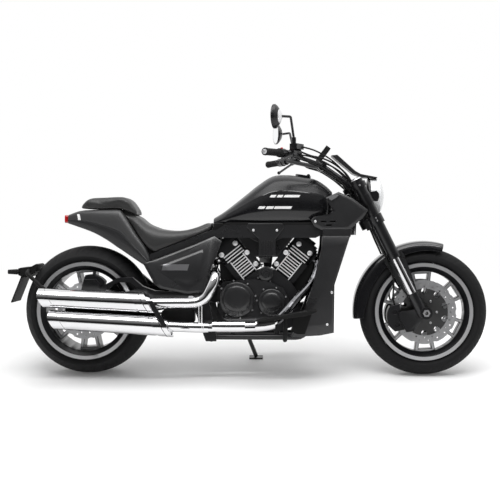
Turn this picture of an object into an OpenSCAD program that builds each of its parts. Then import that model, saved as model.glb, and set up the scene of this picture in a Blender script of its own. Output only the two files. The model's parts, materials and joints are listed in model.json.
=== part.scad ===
// Power cruiser motorcycle with a V-twin engine, parked on its side stand.
// Machine frame: X forward from the rear axle, Y to the rider's left, Z up from the ground, upright.
// stance() leans the finished machine onto its stand and moves it to the shared origin.

/* [Stance] */
// Distance between the axles
wheelbase = 1695; // [1600:5:1800]
// Lean to the left on the side stand, in degrees
lean = 9; // [6:0.5:12]
// Reach of the tail behind the rear axle
tail_overhang = 396; // [380:1:420]
// Sideways shift that puts the leaned machine's middle over the origin
centre_shift = 136.5; // [100:0.1:260]

/* [Wheels] */
// Front tyre outside diameter
front_tyre_d = 639; // [600:1:660]
// Front tyre width
front_tyre_w = 130; // [110:1:150]
// Front tyre crown radius
front_crown_r = 72; // [68:1:90]
// Rear tyre outside diameter
rear_tyre_d = 649; // [620:1:670]
// Rear tyre width
rear_tyre_w = 240; // [200:1:240]
// Rear tyre crown radius
rear_crown_r = 165; // [140:1:200]
// Rim bead seat diameter
rim_seat_d = 457; // [450:1:462]
// Height of the rim flange over the bead seat
rim_flange_h = 18.5; // [16:0.5:20]
// Depth of the rim from the bead seat in to the barrel that the spokes reach
rim_depth = 25.5; // [22:0.5:30]
// Front rim width over its flanges
front_rim_w = 112; // [100:1:116]
// Rear rim width over its flanges
rear_rim_w = 236; // [190:1:236]
// Flange thickness
rim_lip_t = 10; // [6:1:12]
// Number of twin spokes
spoke_count = 6; // [5:1:7]
// Half width of a twin spoke at the rim
spoke_outer_half = 53; // [44:1:58]
// Half width of a twin spoke at the hub
spoke_inner_half = 24; // [18:1:28]
// Width of one spoke arm
spoke_arm_w = 17; // [12:1:20]
// Front spoke thickness
front_spoke_t = 44; // [30:1:50]
// Rear spoke thickness
rear_spoke_t = 84; // [60:1:100]
// Hub diameter
hub_d = 88; // [80:1:96]
// Wheel axle diameter
axle_d = 25; // [20:1:28]
// Bore through each hollow axle
axle_bore_d = 16; // [10:1:18]

/* [Brakes] */
// Room for the caliper between the front disc's edge and the rim
caliper_room = 43; // [42:1:50]
// Disc thickness
disc_t = 5; // [4:0.5:6]
// Width of the rubbed ring of a disc
disc_band = 42; // [34:1:46]
// Distance of each front disc's inner face from the middle plane
front_disc_y = 60; // [58:1:62]
// Distance of the rear disc's inner face from the middle plane
rear_disc_y = 97; // [92:1:99]

/* [Steering] */
// Rake of the steering axis from the vertical, in degrees
rake = 26.4; // [25:0.1:28]
// Axle ahead of the fork legs
axle_lead = 15; // [10:1:18]
// Fork legs ahead of the steering axis
clamp_offset = 40; // [38:1:44]
// Spacing of the fork legs
fork_spacing = 210; // [206:1:216]
// Diameter of the outer fork tubes
fork_outer_d = 58; // [54:1:60]
// Diameter of the sliding fork tubes
fork_inner_d = 43; // [39:1:45]
// Height of the outer tubes' lower ends along the fork
fork_outer_low = 309; // [300:1:330]
// Height of the tops of the fork along the fork
fork_top = 742; // [736:1:752]
// Height of the lower clamp along the fork
lower_clamp_low = 498; // [490:1:502]
// Thickness of the lower clamp
lower_clamp_t = 46; // [40:1:48]
// Height of the upper clamp along the fork
upper_clamp_low = 696; // [690:1:700]
// Thickness of the upper clamp
upper_clamp_t = 28; // [24:1:32]
// Head tube outside diameter
head_tube_d = 60; // [54:1:64]
// Steering stem diameter
stem_d = 28; // [24:1:30]

/* [Front end] */
// Headlamp diameter
lamp_d = 180; // [170:1:184]
// Height of the headlamp centre
lamp_z = 898; // [890:1:904]
// Front of the headlamp lens behind the front axle
lamp_setback = 196; // [185:1:200]
// Front fender radius from the axle
fender_r = 352; // [345:1:358]
// Front fender half width
fender_half = 72; // [70:0.5:72.5]
// Front fender shell thickness
fender_t = 4; // [3:0.5:5]

/* [Handlebar] */
// Handlebar tube diameter
bar_d = 22; // [20:1:25.4]
// Grip outside diameter
grip_d = 34; // [31:1:38]
// Length of a grip
grip_len = 128; // [120:1:134]
// Mirror diameter
mirror_d = 114; // [100:1:120]
// Turn of each mirror's glass towards the rider, in degrees
mirror_turn = 16; // [8:1:24]

/* [Body] */
// Flat floor of the fuel tank above the ground
tank_floor = 758; // [752:1:764]
// Largest half width of the fuel tank
tank_half = 168; // [155:1:175]
// Clearance between pieces that seat on each other
seat_gap = 0.3; // [0.2:0.05:0.5]

/* [Engine] */
// Half of the angle between the cylinders, in degrees
vee_half = 38.5; // [36:0.5:40]
// Crankshaft height above the ground
crank_z = 405; // [400:1:410]
// Crankshaft distance ahead of the rear axle
crank_x = 906; // [900:1:912]
// Half width of the crankcase
case_half = 112; // [106:1:114]
// Number of cooling fins on a barrel
fin_count = 7; // [5:1:9]
// Width of the finned field on a barrel's sides
fin_field = 72; // [60:1:84]

/* [Chassis] */
// Outer half width of the upper frame spars
spar_half = 150; // [146:1:152]
// Width of each frame spar
spar_w = 22; // [18:1:26]
// Half spacing of the lower frame rails
rail_half = 106; // [102:1:108]
// Diameter of the lower frame rails
rail_d = 28; // [24:1:30]
// Chain line outside the crankcase
chain_room = 23; // [20:1:26]
// Thickness of a swingarm arm
arm_t = 32; // [28:1:33]
// Swingarm pivot distance ahead of the rear axle
pivot_x = 540; // [535:1:545]
// Swingarm pivot height
pivot_z = 392; // [388:1:396]
// Chain pitch
chain_pitch = 15.875; // [15.875:0.001:15.876]
// Teeth on the rear sprocket
rear_teeth = 44; // [42:1:45]
// Teeth on the gearbox sprocket
front_teeth = 16; // [15:1:17]

/* [Exhaust] */
// Exhaust pipe diameter
pipe_d = 52; // [46:1:54]
// Muffler diameter
muffler_d = 96; // [88:1:98]
// Gap between the mufflers and the frame plates
muffler_gap = 2; // [2:1:6]

/* [Side stand] */
// Fold angle of the stand leg ahead of straight down, in degrees
stand_rake = 18; // [12:1:24]
// Length of the stand leg
stand_len = 176; // [170:1:190]

/* [Hidden] */
$fn = 48;
running = 0.05;
front_r = front_tyre_d / 2;
rear_r = rear_tyre_d / 2;
seat_r = rim_seat_d / 2;
lip_r = seat_r + rim_flange_h;
barrel_r = seat_r - rim_depth;
well_r = barrel_r + 6;
front_disc_d = 2 * (barrel_r - caliper_room);
rear_disc_d = front_disc_d - 34;
axle_r = axle_d / 2;
// Drop of each axle when its round tyre crown leans
front_drop = (front_r - front_crown_r) * (1 - cos(lean));
rear_drop = (rear_r - rear_crown_r) * (1 - cos(lean));
squat = atan((front_drop - rear_drop) / wheelbase);
middle_x = (wheelbase + front_r - tail_overhang) / 2;

// The body's outlines are drawn for this wheelbase, and stretch between the seat and the steering head for others
drawn_wheelbase = 1695;
seat_nose_x = 640;
head_x = 1200;
function drawn_out(x) =
    x + (wheelbase - drawn_wheelbase) * max(0, min(1, (x - seat_nose_x) / (head_x - seat_nose_x)));
function stretched(outline) = [for (p = outline) [drawn_out(p.x), p.y]];

// Puts the upright machine on its side stand over the shared origin
module stance() {
    translate([-middle_x, -centre_shift, rear_r - rear_drop])
        rotate([-lean, squat, 0])
            translate([0, 0, -rear_r])
                children();
}

// Turns a wheel's own frame so that its axis lies across the machine, right side up
module at_axle(x, z) {
    translate([x, 0, z])
        rotate([90, 0, 0])
            children();
}

module both_sides() {
    children();
    mirror([0, 1, 0])
        children();
}

function unit(v) = v / norm(v);
function mid(ring) = [for (p = ring) 1] * ring / len(ring);
function lerp(a, b, t) = a + (b - a) * t;
// Any direction square to d
function beside(d) = unit(abs(d.y) < 0.9 ? cross([0, 1, 0], d) : cross([0, 0, 1], d));
// Full ring of a section from its left half, listed from the bottom middle to the top middle
function full_ring(half) = concat(half, [for (i = [len(half) - 2:-1:1]) [half[i].x, -half[i].y, half[i].z]]);
// Ring of an outline in the side plane at the sideways distance y
function side_ring(outline, y) = [for (p = outline) [p.x, y, p.y]];
// Ring drawn in towards its middle by a share k and set at a new sideways distance
function drawn_in(ring, k, y) = [for (p = ring) let (q = lerp(p, mid(ring), k)) [q.x, y, q.z]];
// Point on a smooth curve through the route's points, t from 0 to the last index
function smooth(route, t) =
    let (last = len(route) - 1, i = min(floor(t), last - 1), u = t - i)
    let (a = route[max(i - 1, 0)], b = route[i], c = route[i + 1], d = route[min(i + 2, last)])
    0.5 * (2 * b + (c - a) * u + (2 * a - 5 * b + 4 * c - d) * u * u + (3 * b - a - 3 * c + d) * u * u * u);

// Solid through rings of points that run anticlockwise seen from the last ring's side
module skin(rings) {
    n = len(rings[0]);
    m = len(rings);
    points = concat([for (ring = rings) each ring], [mid(rings[0]), mid(rings[m - 1])]);
    sides = [
        for (i = [0:m - 2]) for (j = [0:n - 1])
            let (a = i * n + j, b = i * n + (j + 1) % n)
            each [[a, a + n, b + n], [a, b + n, b]]
    ];
    first_cap = [for (j = [0:n - 1]) [n * m, j, (j + 1) % n]];
    last_cap = [for (j = [0:n - 1]) [n * m + 1, n * (m - 1) + (j + 1) % n, n * (m - 1) + j]];
    polyhedron(points, concat(sides, first_cap, last_cap), convexity = 6);
}

// Side vectors carried along a path's directions without twist
function carried(ds, i, s) =
    i == len(ds) ? [] : let (t = unit(s - ds[i] * (s * ds[i]))) concat([t], carried(ds, i + 1, t));

// Round tube along a path of close points
module sweep(path, r, sides) {
    last = len(path) - 1;
    ds = [for (i = [0:last]) unit(path[min(i + 1, last)] - path[max(i - 1, 0)])];
    ss = carried(ds, 0, beside(ds[0]));
    skin([
        for (i = [0:last])
            let (u = cross(ds[i], ss[i]))
            [for (k = [0:sides - 1]) path[i] + r * (cos(360 * k / sides) * ss[i] + sin(360 * k / sides) * u)]
    ]);
}

module swept_tube(route, r, sides, rings_per_leg) {
    count = (len(route) - 1) * rings_per_leg;
    sweep([for (i = [0:count]) smooth(route, i / rings_per_leg)], r, sides);
}

module in_frame(o, x, y, z) {
    multmatrix([[x.x, y.x, z.x, o.x], [x.y, y.y, z.y, o.y], [x.z, y.z, z.z, o.z], [0, 0, 0, 1]])
        children();
}

// Frame whose Z runs from a towards b
module along(a, b) {
    d = unit(b - a);
    s = beside(d);
    in_frame(a, s, cross(d, s), d)
        children();
}

module rod(a, b, r) {
    along(a, b)
        cylinder(r = r, h = norm(b - a));
}

function turn(p, i) = acos(unit(p[i] - p[i - 1]) * unit(p[i + 1] - p[i]));
function setback(p, i, bend) = i == 0 || i == len(p) - 1 ? 0 : bend * tan(turn(p, i) / 2);

// Points of a path whose corners are rounded with the bend radius, in arcs of a few steps
function rounded(p, bend, steps) = [
    for (i = [0:len(p) - 1])
        each i == 0 || i == len(p) - 1 ? [p[i]] :
            let (d = unit(p[i] - p[i - 1]), n = unit(cross(d, p[i + 1] - p[i])), inward = cross(n, d))
            let (middle = p[i] - d * setback(p, i, bend) + inward * bend)
            [for (k = [0:steps]) let (a = turn(p, i) * k / steps) middle + bend * (sin(a) * d - cos(a) * inward)]
];

module bent_tube(p, r, bend, sides = 16) {
    sweep(rounded(p, bend, 4), r, sides);
}

// Outline in the side plane, extruded from the sideways distance y0 to y1 on the right
module side_plate(outline, y0, y1) {
    translate([0, -y0, 0])
        rotate([90, 0, 0])
            linear_extrude(y1 - y0)
                polygon(outline);
}

module rounded_box(size, r) {
    linear_extrude(size.z)
        offset(r = r, $fn = 32)
            square([size.x - 2 * r, size.y - 2 * r], center = true);
}

// Wheels

module tyre(r, w, crown_r, rim_w) {
    bead_half = rim_w / 2 - rim_lip_t - seat_gap;
    wide_r = lip_r + 18;
    wall = 11;
    rotate_extrude($fn = 96)
        difference() {
            intersection() {
                translate([r - crown_r, 0])
                    circle(crown_r);
                polygon([
                    [seat_r + seat_gap, -bead_half], [lip_r + 1, -bead_half], [wide_r, -w / 2], [r, -w / 2],
                    [r, w / 2], [wide_r, w / 2], [lip_r + 1, bead_half], [seat_r + seat_gap, bead_half]
                ]);
            }
            intersection() {
                translate([r - crown_r - wall, 0])
                    circle(crown_r);
                polygon([
                    [seat_r - 1, -bead_half + wall], [lip_r + 1, -bead_half + wall],
                    [wide_r, -w / 2 + wall], [r, -w / 2 + wall], [r, w / 2 - wall], [wide_r, w / 2 - wall],
                    [lip_r + 1, bead_half - wall], [seat_r - 1, bead_half - wall]
                ]);
            }
        }
}

module rim_ring(w) {
    half = w / 2;
    flange = half - rim_lip_t;
    face_r = lip_r - 22;
    well_half = flange - 24;
    rotate_extrude($fn = 96)
        polygon([
            [lip_r, half], [lip_r, flange], [seat_r, flange], [seat_r, well_half + 6], [well_r, well_half],
            [well_r, -well_half], [seat_r, -well_half - 6], [seat_r, -flange], [lip_r, -flange], [lip_r, -half],
            [face_r, -half], [barrel_r, -half + 24], [barrel_r, half - 24], [face_r, half]
        ]);
}

function spoke_half(r) = lerp(spoke_inner_half, spoke_outer_half, (r - hub_d / 2) / (barrel_r - hub_d / 2));

module spokes(t) {
    window_in = hub_d / 2 + 34;
    window_out = barrel_r - 29;
    linear_extrude(t, center = true)
        intersection() {
            circle(well_r - 2);
            for (i = [0:spoke_count - 1])
                rotate(33 + i * 360 / spoke_count)
                    difference() {
                        polygon([
                            [hub_d / 2 - 8, -spoke_half(hub_d / 2)], [barrel_r + 4, -spoke_half(barrel_r)],
                            [barrel_r + 4, spoke_half(barrel_r)], [hub_d / 2 - 8, spoke_half(hub_d / 2)]
                        ]);
                        polygon([
                            [window_in, -spoke_half(window_in) + spoke_arm_w],
                            [window_out, -spoke_half(window_out) + spoke_arm_w],
                            [window_out, spoke_half(window_out) - spoke_arm_w],
                            [window_in, spoke_half(window_in) - spoke_arm_w]
                        ]);
                    }
        }
}

module cast_wheel(w, spoke_t, hub_half) {
    difference() {
        union() {
            rim_ring(w);
            spokes(spoke_t);
            cylinder(d = hub_d, h = 2 * hub_half, center = true);
        }
        cylinder(r = axle_r + running, h = 4 * hub_half, center = true);
    }
}

// Wave-edged disc with its carrier, lying on the plane that it is bolted to
module brake_disc(d, waves) {
    band_in = d / 2 - disc_band;
    bite = 26;
    linear_extrude(disc_t)
        difference() {
            circle(d = d);
            for (i = [0:waves - 1])
                rotate(i * 360 / waves)
                    translate([d / 2 + bite - 5, 0])
                        circle(bite);
            for (i = [0:2 * waves - 1], row = [0, 1])
                rotate((i + row / 2) * 180 / waves)
                    translate([band_in + 11 + row * 14, 0])
                        circle(d = 8);
            for (i = [0:waves - 1])
                rotate((i + 0.5) * 360 / waves)
                    translate([band_in - 12, 0])
                        circle(d = 30);
            circle(d = hub_d - 24);
        }
}

module front_tyre() {
    color("dimgray")
        at_axle(wheelbase, front_r)
            tyre(front_r, front_tyre_w, front_crown_r, front_rim_w);
}

module front_rim() {
    color("black")
        at_axle(wheelbase, front_r)
            cast_wheel(front_rim_w, front_spoke_t, front_disc_y);
}

module front_discs() {
    color("silver")
        at_axle(wheelbase, front_r)
            for (side = [0, 1])
                mirror([0, 0, side])
                    translate([0, 0, front_disc_y])
                        brake_disc(front_disc_d, 10);
}

module rear_tyre() {
    color("dimgray")
        at_axle(0, rear_r)
            tyre(rear_r, rear_tyre_w, rear_crown_r, rear_rim_w);
}

module rear_rim() {
    color("black")
        at_axle(0, rear_r)
            cast_wheel(rear_rim_w, rear_spoke_t, rear_disc_y);
}

module rear_disc() {
    color("silver")
        at_axle(0, rear_r)
            translate([0, 0, rear_disc_y])
                brake_disc(rear_disc_d, 9);
}

// Final drive

sprocket_t = 7.2;
chain_y = case_half + chain_room;
arm_inner = chain_y + 15;
chain_half = 7.2;
rear_pitch_r = chain_pitch / (2 * sin(180 / rear_teeth));
front_pitch_r = chain_pitch / (2 * sin(180 / front_teeth));
gearbox_x = 640;
gearbox_z = 402;
drive_span = norm([gearbox_x, gearbox_z - rear_r]);
drive_slope = atan2(gearbox_z - rear_r, gearbox_x);
drive_wrap = acos((rear_pitch_r - front_pitch_r) / drive_span);
drive_run = drive_span * sin(drive_wrap);
front_arc = front_pitch_r * 2 * drive_wrap * PI / 180;
rear_arc = rear_pitch_r * (360 - 2 * drive_wrap) * PI / 180;
chain_length = 2 * drive_run + front_arc + rear_arc;
chain_links = 2 * round(chain_length / chain_pitch / 2);

function polar(a) = [cos(a), sin(a)];
// Place on the chain's loop at the share u of its length, set outwards by h
function chain_point(u, h) =
    let (s = u * chain_length)
    let (rear = [0, rear_r], front = [gearbox_x, gearbox_z])
    let (up = polar(drive_slope + drive_wrap), down = polar(drive_slope - drive_wrap))
    s < drive_run
        ? lerp(rear + up * rear_pitch_r, front + up * front_pitch_r, s / drive_run) + up * h
    : s < drive_run + front_arc
        ? front + polar(drive_slope + drive_wrap - (s - drive_run) / front_arc * 2 * drive_wrap)
            * (front_pitch_r + h)
    : s < 2 * drive_run + front_arc
        ? lerp(front + down * front_pitch_r, rear + down * rear_pitch_r,
            (s - drive_run - front_arc) / drive_run) + down * h
    : rear + polar(drive_slope - drive_wrap
            - (s - 2 * drive_run - front_arc) / rear_arc * (360 - 2 * drive_wrap)) * (rear_pitch_r + h);

module rear_sprocket() {
    window = 34;
    color("dimgray")
        at_axle(0, rear_r)
            translate([0, 0, -chain_y - sprocket_t / 2])
                difference() {
                    union() {
                        linear_extrude(sprocket_t)
                            difference() {
                                circle(rear_pitch_r + 3);
                                for (i = [0:rear_teeth - 1])
                                    rotate(i * 360 / rear_teeth)
                                        translate([rear_pitch_r, 0])
                                            circle(d = 10.2);
                                for (i = [0:4])
                                    rotate(i * 72)
                                        translate([72, 0])
                                            circle(d = window);
                            }
                        cylinder(d = hub_d, h = chain_y + sprocket_t / 2 - rear_disc_y);
                    }
                    translate([0, 0, -1])
                        cylinder(r = axle_r + running, h = chain_y);
                }
}

module drive_chain() {
    plate_t = 2.4;
    row = 6.4;
    waist = 5.2;
    outline = [for (i = [0:2 * chain_links - 1]) chain_point(i / (2 * chain_links), i % 2 == 0 ? chain_half : waist)];
    inline = [for (i = [0:2 * chain_links - 1]) chain_point(i / (2 * chain_links), i % 2 == 0 ? -chain_half : -waist)];
    color("gray") {
        for (side = [-1, 1])
            translate([0, chain_y + side * row + plate_t / 2, 0])
                rotate([90, 0, 0])
                    linear_extrude(plate_t)
                        difference() {
                            polygon(outline);
                            polygon(inline);
                        }
        for (share = [0.04, 0.12, 0.2, 0.28], low = [0, 1]) {
            s = low * (drive_run + front_arc) + share * 3 * drive_run;
            p = chain_point(s / chain_length, 0);
            translate([p.x, chain_y, p.y])
                rotate([90, 0, 0])
                    cylinder(d = 7, h = 2 * row, center = true);
        }
    }
}

// Steered front end. In this frame Z runs up the fork from the axle and X is ahead of it.
module in_fork() {
    translate([wheelbase, 0, front_r])
        rotate([0, -rake, 0])
            children();
}

leg_x = -axle_lead;
stem_x = -axle_lead - clamp_offset;
leg_y = fork_spacing / 2;
outer_r = fork_outer_d / 2;
inner_r = fork_inner_d / 2;
head_low = lower_clamp_low + lower_clamp_t + 1;
head_high = upper_clamp_low - 1;

// Flat clamp across both legs and the stem
module clamp_plate(t, grip_wall) {
    difference() {
        linear_extrude(t)
            offset(r = -6, $fn = 24)
                offset(r = 6, $fn = 24) {
                    for (side = [-1, 1])
                        translate([leg_x, side * leg_y])
                            circle(outer_r + grip_wall);
                    translate([stem_x, 0])
                        circle(stem_d / 2 + 22);
                    polygon([
                        [leg_x + 16, leg_y], [leg_x - 4, 0], [leg_x + 16, -leg_y],
                        [leg_x - 30, -leg_y], [stem_x - 24, -18], [stem_x - 24, 18], [leg_x - 30, leg_y]
                    ]);
                }
        for (side = [-1, 1])
            translate([leg_x, side * leg_y, -1])
                cylinder(r = outer_r + running, h = t + 2);
    }
}

module fork_clamps() {
    color("dimgray")
        in_fork() {
            translate([0, 0, lower_clamp_low])
                clamp_plate(lower_clamp_t, 9);
            translate([0, 0, upper_clamp_low])
                clamp_plate(upper_clamp_t, 8);
            translate([stem_x, 0, lower_clamp_low - 12])
                cylinder(d = stem_d, h = upper_clamp_low + upper_clamp_t + 22 - lower_clamp_low);
            for (side = [-1, 1])
                translate([stem_x - 4, side * riser_y, upper_clamp_low + upper_clamp_t - 1])
                    cylinder(r = 17, h = 14);
        }
}

module fork_tubes() {
    color("black")
        in_fork()
            for (side = [-1, 1])
                translate([leg_x, side * leg_y, fork_outer_low])
                    difference() {
                        union() {
                            cylinder(r = outer_r, h = fork_top - fork_outer_low);
                            cylinder(r = outer_r + 2.5, h = 26);
                            translate([0, 0, fork_top - fork_outer_low])
                                cylinder(r = outer_r - 6, h = 9, $fn = 6);
                        }
                        translate([0, 0, -1])
                            cylinder(r = inner_r + running, h = 200);
                    }
}

slider_low = 66;
module fork_sliders() {
    color("silver")
        in_fork()
            for (side = [-1, 1])
                translate([leg_x, side * leg_y, slider_low])
                    cylinder(r = inner_r, h = fork_outer_low + 180 - slider_low);
}

caliper_angle = 165;
foot_r = inner_r + 7;
boss_half = 31;
module fork_feet() {
    color("black")
        in_fork()
            both_sides()
                difference() {
                    union() {
                        translate([leg_x, -leg_y, -8])
                            cylinder(r = foot_r, h = 124);
                        translate([0, -leg_y, 0])
                            rotate([90, 0, 0])
                                cylinder(r = 30, h = 2 * boss_half, center = true);
                        rotate([90, 0, 0])
                            translate([0, 0, leg_y - 9])
                                linear_extrude(16)
                                    polygon([[leg_x, 30], [-118, 62], [-128, 34], [-128, -44], [-104, -52], [leg_x, -20]]);
                    }
                    translate([leg_x, -leg_y, slider_low])
                        cylinder(r = inner_r + running, h = 80);
                    rotate([90, 0, 0])
                        cylinder(r = axle_r + running, h = 400, center = true);
                }
}

module front_axle() {
    half = leg_y + boss_half + seat_gap + 10;
    spacer = leg_y - boss_half - front_disc_y - 1.5;
    color("silver")
        at_axle(wheelbase, front_r)
            difference() {
                union() {
                    cylinder(r = axle_r, h = 2 * half, center = true);
                    for (side = [-1, 1])
                        translate([0, 0, side * (half - 5)])
                            cylinder(r = axle_r + 6, h = 10, center = true, $fn = 6);
                    for (side = [-1, 1])
                        translate([0, 0, side * (front_disc_y + 1 + spacer / 2)])
                            cylinder(r = axle_r + 5, h = spacer, center = true);
                }
                cylinder(d = axle_bore_d, h = 3 * half, center = true);
            }
}

// Brake caliper across a disc: radial block in the disc's own frame, outward along X
module caliper(r, length, inner_face, disc_low, outer_face) {
    depth = 62;
    difference() {
        translate([r - 34, -length / 2, inner_face])
            intersection() {
                cube([depth + 14, length, outer_face - inner_face]);
                translate([-20, length / 2, 0])
                    cylinder(r = depth + 32, h = outer_face - inner_face);
            }
        translate([r - 60, -length, disc_low - 2])
            cube([depth + 12, 2 * length, disc_t + 4]);
        for (side = [-1, 1])
            translate([r - 4, side * length / 4, disc_low + disc_t + 22])
                cylinder(r = 13, h = outer_face);
    }
}

module front_calipers() {
    color("black")
        in_fork()
            rotate([90, 0, 0])
                for (side = [0, 1])
                    mirror([0, 0, side])
                        rotate(caliper_angle)
                            caliper(front_disc_d / 2 - 10, 128, 36, front_disc_y, leg_y - 9 - seat_gap);
}

// Fender: arched shell with side skirts, from behind the wheel over to its front
module front_fender() {
    first = 74;
    last = 186;
    steps = 16;
    angles = [for (i = [0:steps]) lerp(first, last, i / steps)];
    function skirt(a) = lerp(40, 62, min(1, (a - first) / 70)) - 16 * pow(max(0, (a - 165) / 21), 2);
    function shell(a, t) =
        let (r = fender_r - t, w = fender_half - t, low = fender_r - skirt(a))
        [[low, w], [r - 26, w], [r - 9, w - 9], [r, w - 30], [r + 3, 0],
         [r, 30 - w], [r - 9, 9 - w], [r - 26, -w], [low, -w]];
    function placed(p, a) = [wheelbase + p.x * cos(a), -p.y, front_r + p.x * sin(a)];
    rings = [
        for (a = angles)
            let (outside = shell(a, 0), inside = shell(a, fender_t))
            [for (p = concat(outside, [for (i = [8:-1:0]) inside[i]])) placed(p, a)]
    ];
    color("dimgray") {
        skin_open(rings);
        both_sides()
            fender_stay();
    }
}

// Band of quads round rings whose section folds back on itself, closed by strips at both ends
module skin_open(rings) {
    n = len(rings[0]);
    m = len(rings);
    half = n / 2;
    sides = [
        for (i = [0:m - 2]) for (j = [0:n - 1])
            let (a = i * n + j, b = i * n + (j + 1) % n)
            each [[a, a + n, b + n], [a, b + n, b]]
    ];
    first_cap = [for (j = [0:half - 2]) each [[j, j + 1, n - 2 - j], [j, n - 2 - j, n - 1 - j]]];
    top = n * (m - 1);
    last_cap = [for (j = [0:half - 2]) each [[top + j, top + n - 2 - j, top + j + 1], [top + j, top + n - 1 - j, top + n - 2 - j]]];
    polyhedron([for (ring = rings) each ring], concat(sides, first_cap, last_cap), convexity = 8);
}

// Stay between the fork foot and the fender's skirt
module fender_stay() {
    in_fork()
        rotate([90, 0, 0])
            translate([0, 0, fender_half - 1])
                linear_extrude(leg_y - foot_r - seat_gap - fender_half + 1)
                    polygon([
                        [leg_x - 24, 92], [leg_x + 24, 92], [leg_x + 34, 150], [leg_x + 52, 306], [leg_x + 44, 332],
                        [leg_x + 36, 328], [leg_x + 33, 301], [leg_x - 33, 301], [leg_x - 36, 328],
                        [leg_x - 46, 332], [leg_x - 54, 306], [leg_x - 34, 150]
                    ]);
}

// Headlamp
lamp_r = lamp_d / 2;
lens_bulge = 37;
shell_front = wheelbase - lamp_setback - lens_bulge;
shell_rear = shell_front - 68;

module on_lamp(x) {
    translate([x, 0, lamp_z])
        rotate([0, 90, 0])
            children();
}

module headlamp_shell() {
    color("black")
        on_lamp(shell_rear)
            rotate_extrude($fn = 72)
                polygon([[0, 0], [24, 0], [44, 8], [62, 26], [74, 44], [lamp_r - 4, 58], [lamp_r, 62], [lamp_r, 68], [0, 68]]);
}

module headlamp_lens() {
    color("white")
        on_lamp(shell_front + seat_gap)
            rotate_extrude($fn = 72)
                difference() {
                    intersection() {
                        translate([0, -150])
                            circle(186, $fn = 128);
                        square([lamp_r - 2, 60]);
                    }
                    translate([0, -1])
                        square([lamp_r, 1]);
                }
}

module headlamp_ears() {
    collar_z = (lamp_z - front_r) / cos(rake) - 14;
    color("black")
        both_sides()
            difference() {
                union() {
                    in_fork()
                        translate([leg_x, -leg_y, collar_z - 24])
                            cylinder(r = outer_r + 5, h = 48);
                    side_plate([
                        [shell_front - 70, lamp_z - 22], [shell_front - 2, lamp_z - 26], [shell_front + 4, lamp_z - 8],
                        [shell_front + 4, lamp_z + 12], [shell_front - 8, lamp_z + 26], [shell_front - 70, lamp_z + 16]
                    ], lamp_r + seat_gap, lamp_r + 6);
                }
                in_fork()
                    translate([leg_x, -leg_y, 0])
                        cylinder(r = outer_r + running, h = fork_top);
            }
}

// Strip that runs from the instrument down to the top of the lamp
module lamp_cowl() {
    top = lamp_z + lamp_r + seat_gap;
    color("dimgray")
        rotate([90, 0, 0])
            linear_extrude(104, center = true)
                polygon([
                    [shell_front - 230, top + 116], [shell_front - 200, top + 119], [shell_front - 110, top + 38],
                    [shell_front - 82, top + 22], [shell_front, top + 6], [shell_front, top],
                    [shell_front - 70, top + 4], [shell_front - 122, top + 24], [shell_front - 208, top + 96]
                ]);
}

dash_tilt = 53;
module dash() {
    color("black")
        translate([bar_x + 16, 0, bar_z + 52.7])
            rotate([0, -dash_tilt, 0])
                translate([-40, -62, 0])
                    difference() {
                        cube([84, 124, 26]);
                        translate([7, 8, 24])
                            cube([70, 108, 3]);
                    }
}

// Handlebar
riser_y = 50;
bar_z = 1050;
bar_x = wheelbase - 509;
grip_end = [bar_x - 277, -430, bar_z + 42];
grip_root = [bar_x - 205, -310, bar_z + 45];
grip_dir = unit(grip_root - grip_end);
bar_bend = grip_end + grip_dir * 214;
bar_r = bar_d / 2;

module bar_tube(r) {
    half = [[bar_x, 92, bar_z], [bar_bend.x, -bar_bend.y, bar_bend.z], [grip_end.x, -grip_end.y, grip_end.z]];
    bent_tube(concat([grip_end, bar_bend, [bar_x, -92, bar_z]], half), r, 70);
}

module handlebar() {
    clamp_top = upper_clamp_low + upper_clamp_t + 13 + seat_gap;
    color("black") {
        bar_tube(bar_r);
        both_sides() {
            in_fork()
                translate([stem_x - 4, -riser_y, clamp_top])
                    cylinder(r = 17, h = 20);
            rod(in_fork_point([stem_x - 4, -riser_y, clamp_top + 11]), [bar_x + 4, -riser_y, bar_z - 4], 15);
            translate([bar_x, -riser_y, bar_z])
                rotate([90, 0, 0])
                    cylinder(r = 22, h = 34, center = true);
        }
    }
}

function in_fork_point(p) = [
    wheelbase + p.x * cos(rake) - p.z * sin(rake), p.y, front_r + p.x * sin(rake) + p.z * cos(rake)
];

module grips() {
    color("black")
        both_sides()
            along(grip_end, grip_root)
                difference() {
                    union() {
                        cylinder(d = grip_d, h = grip_len);
                        translate([0, 0, grip_len - 8])
                            cylinder(d = grip_d + 10, h = 8);
                        translate([0, 0, -8])
                            cylinder(d = grip_d + 3, h = 12);
                    }
                    cylinder(r = bar_r + running, h = grip_len + 20);
                    translate([0, 0, -20])
                        cylinder(d = 8, h = 30);
                }
}

// Switch pod, master cylinder with reservoir, and lever
module bar_controls() {
    color("dimgray")
        difference() {
            both_sides() {
                along(grip_end, grip_root) {
                    translate([0, 0, grip_len + 1])
                        cylinder(r = 22, h = 34);
                    translate([0, 0, grip_len + 35])
                        cylinder(r = 18, h = 30);
                }
                rod([bar_x - 156, -278, bar_z + 54], [bar_x - 118, -214, bar_z + 56], 15);
                rod([bar_x - 178, -272, bar_z + 48], [bar_x - 140, -258, bar_z + 54], 13);
                translate([bar_x - 130, -240, bar_z + 68])
                    rotate([0, 0, 60])
                        translate([-34, -20, 0])
                            cube([68, 40, 26]);
                rod([bar_x - 136, -282, bar_z + 42], [bar_x - 150, -300, bar_z + 36], 10);
                rod([bar_x - 148, -298, bar_z + 36], [bar_x - 218, -414, bar_z - 4], 6);
                translate([bar_x - 220, -417, bar_z - 5])
                    sphere(9.5);
            }
            bar_tube(bar_r + 2 * running);
        }
}

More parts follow.
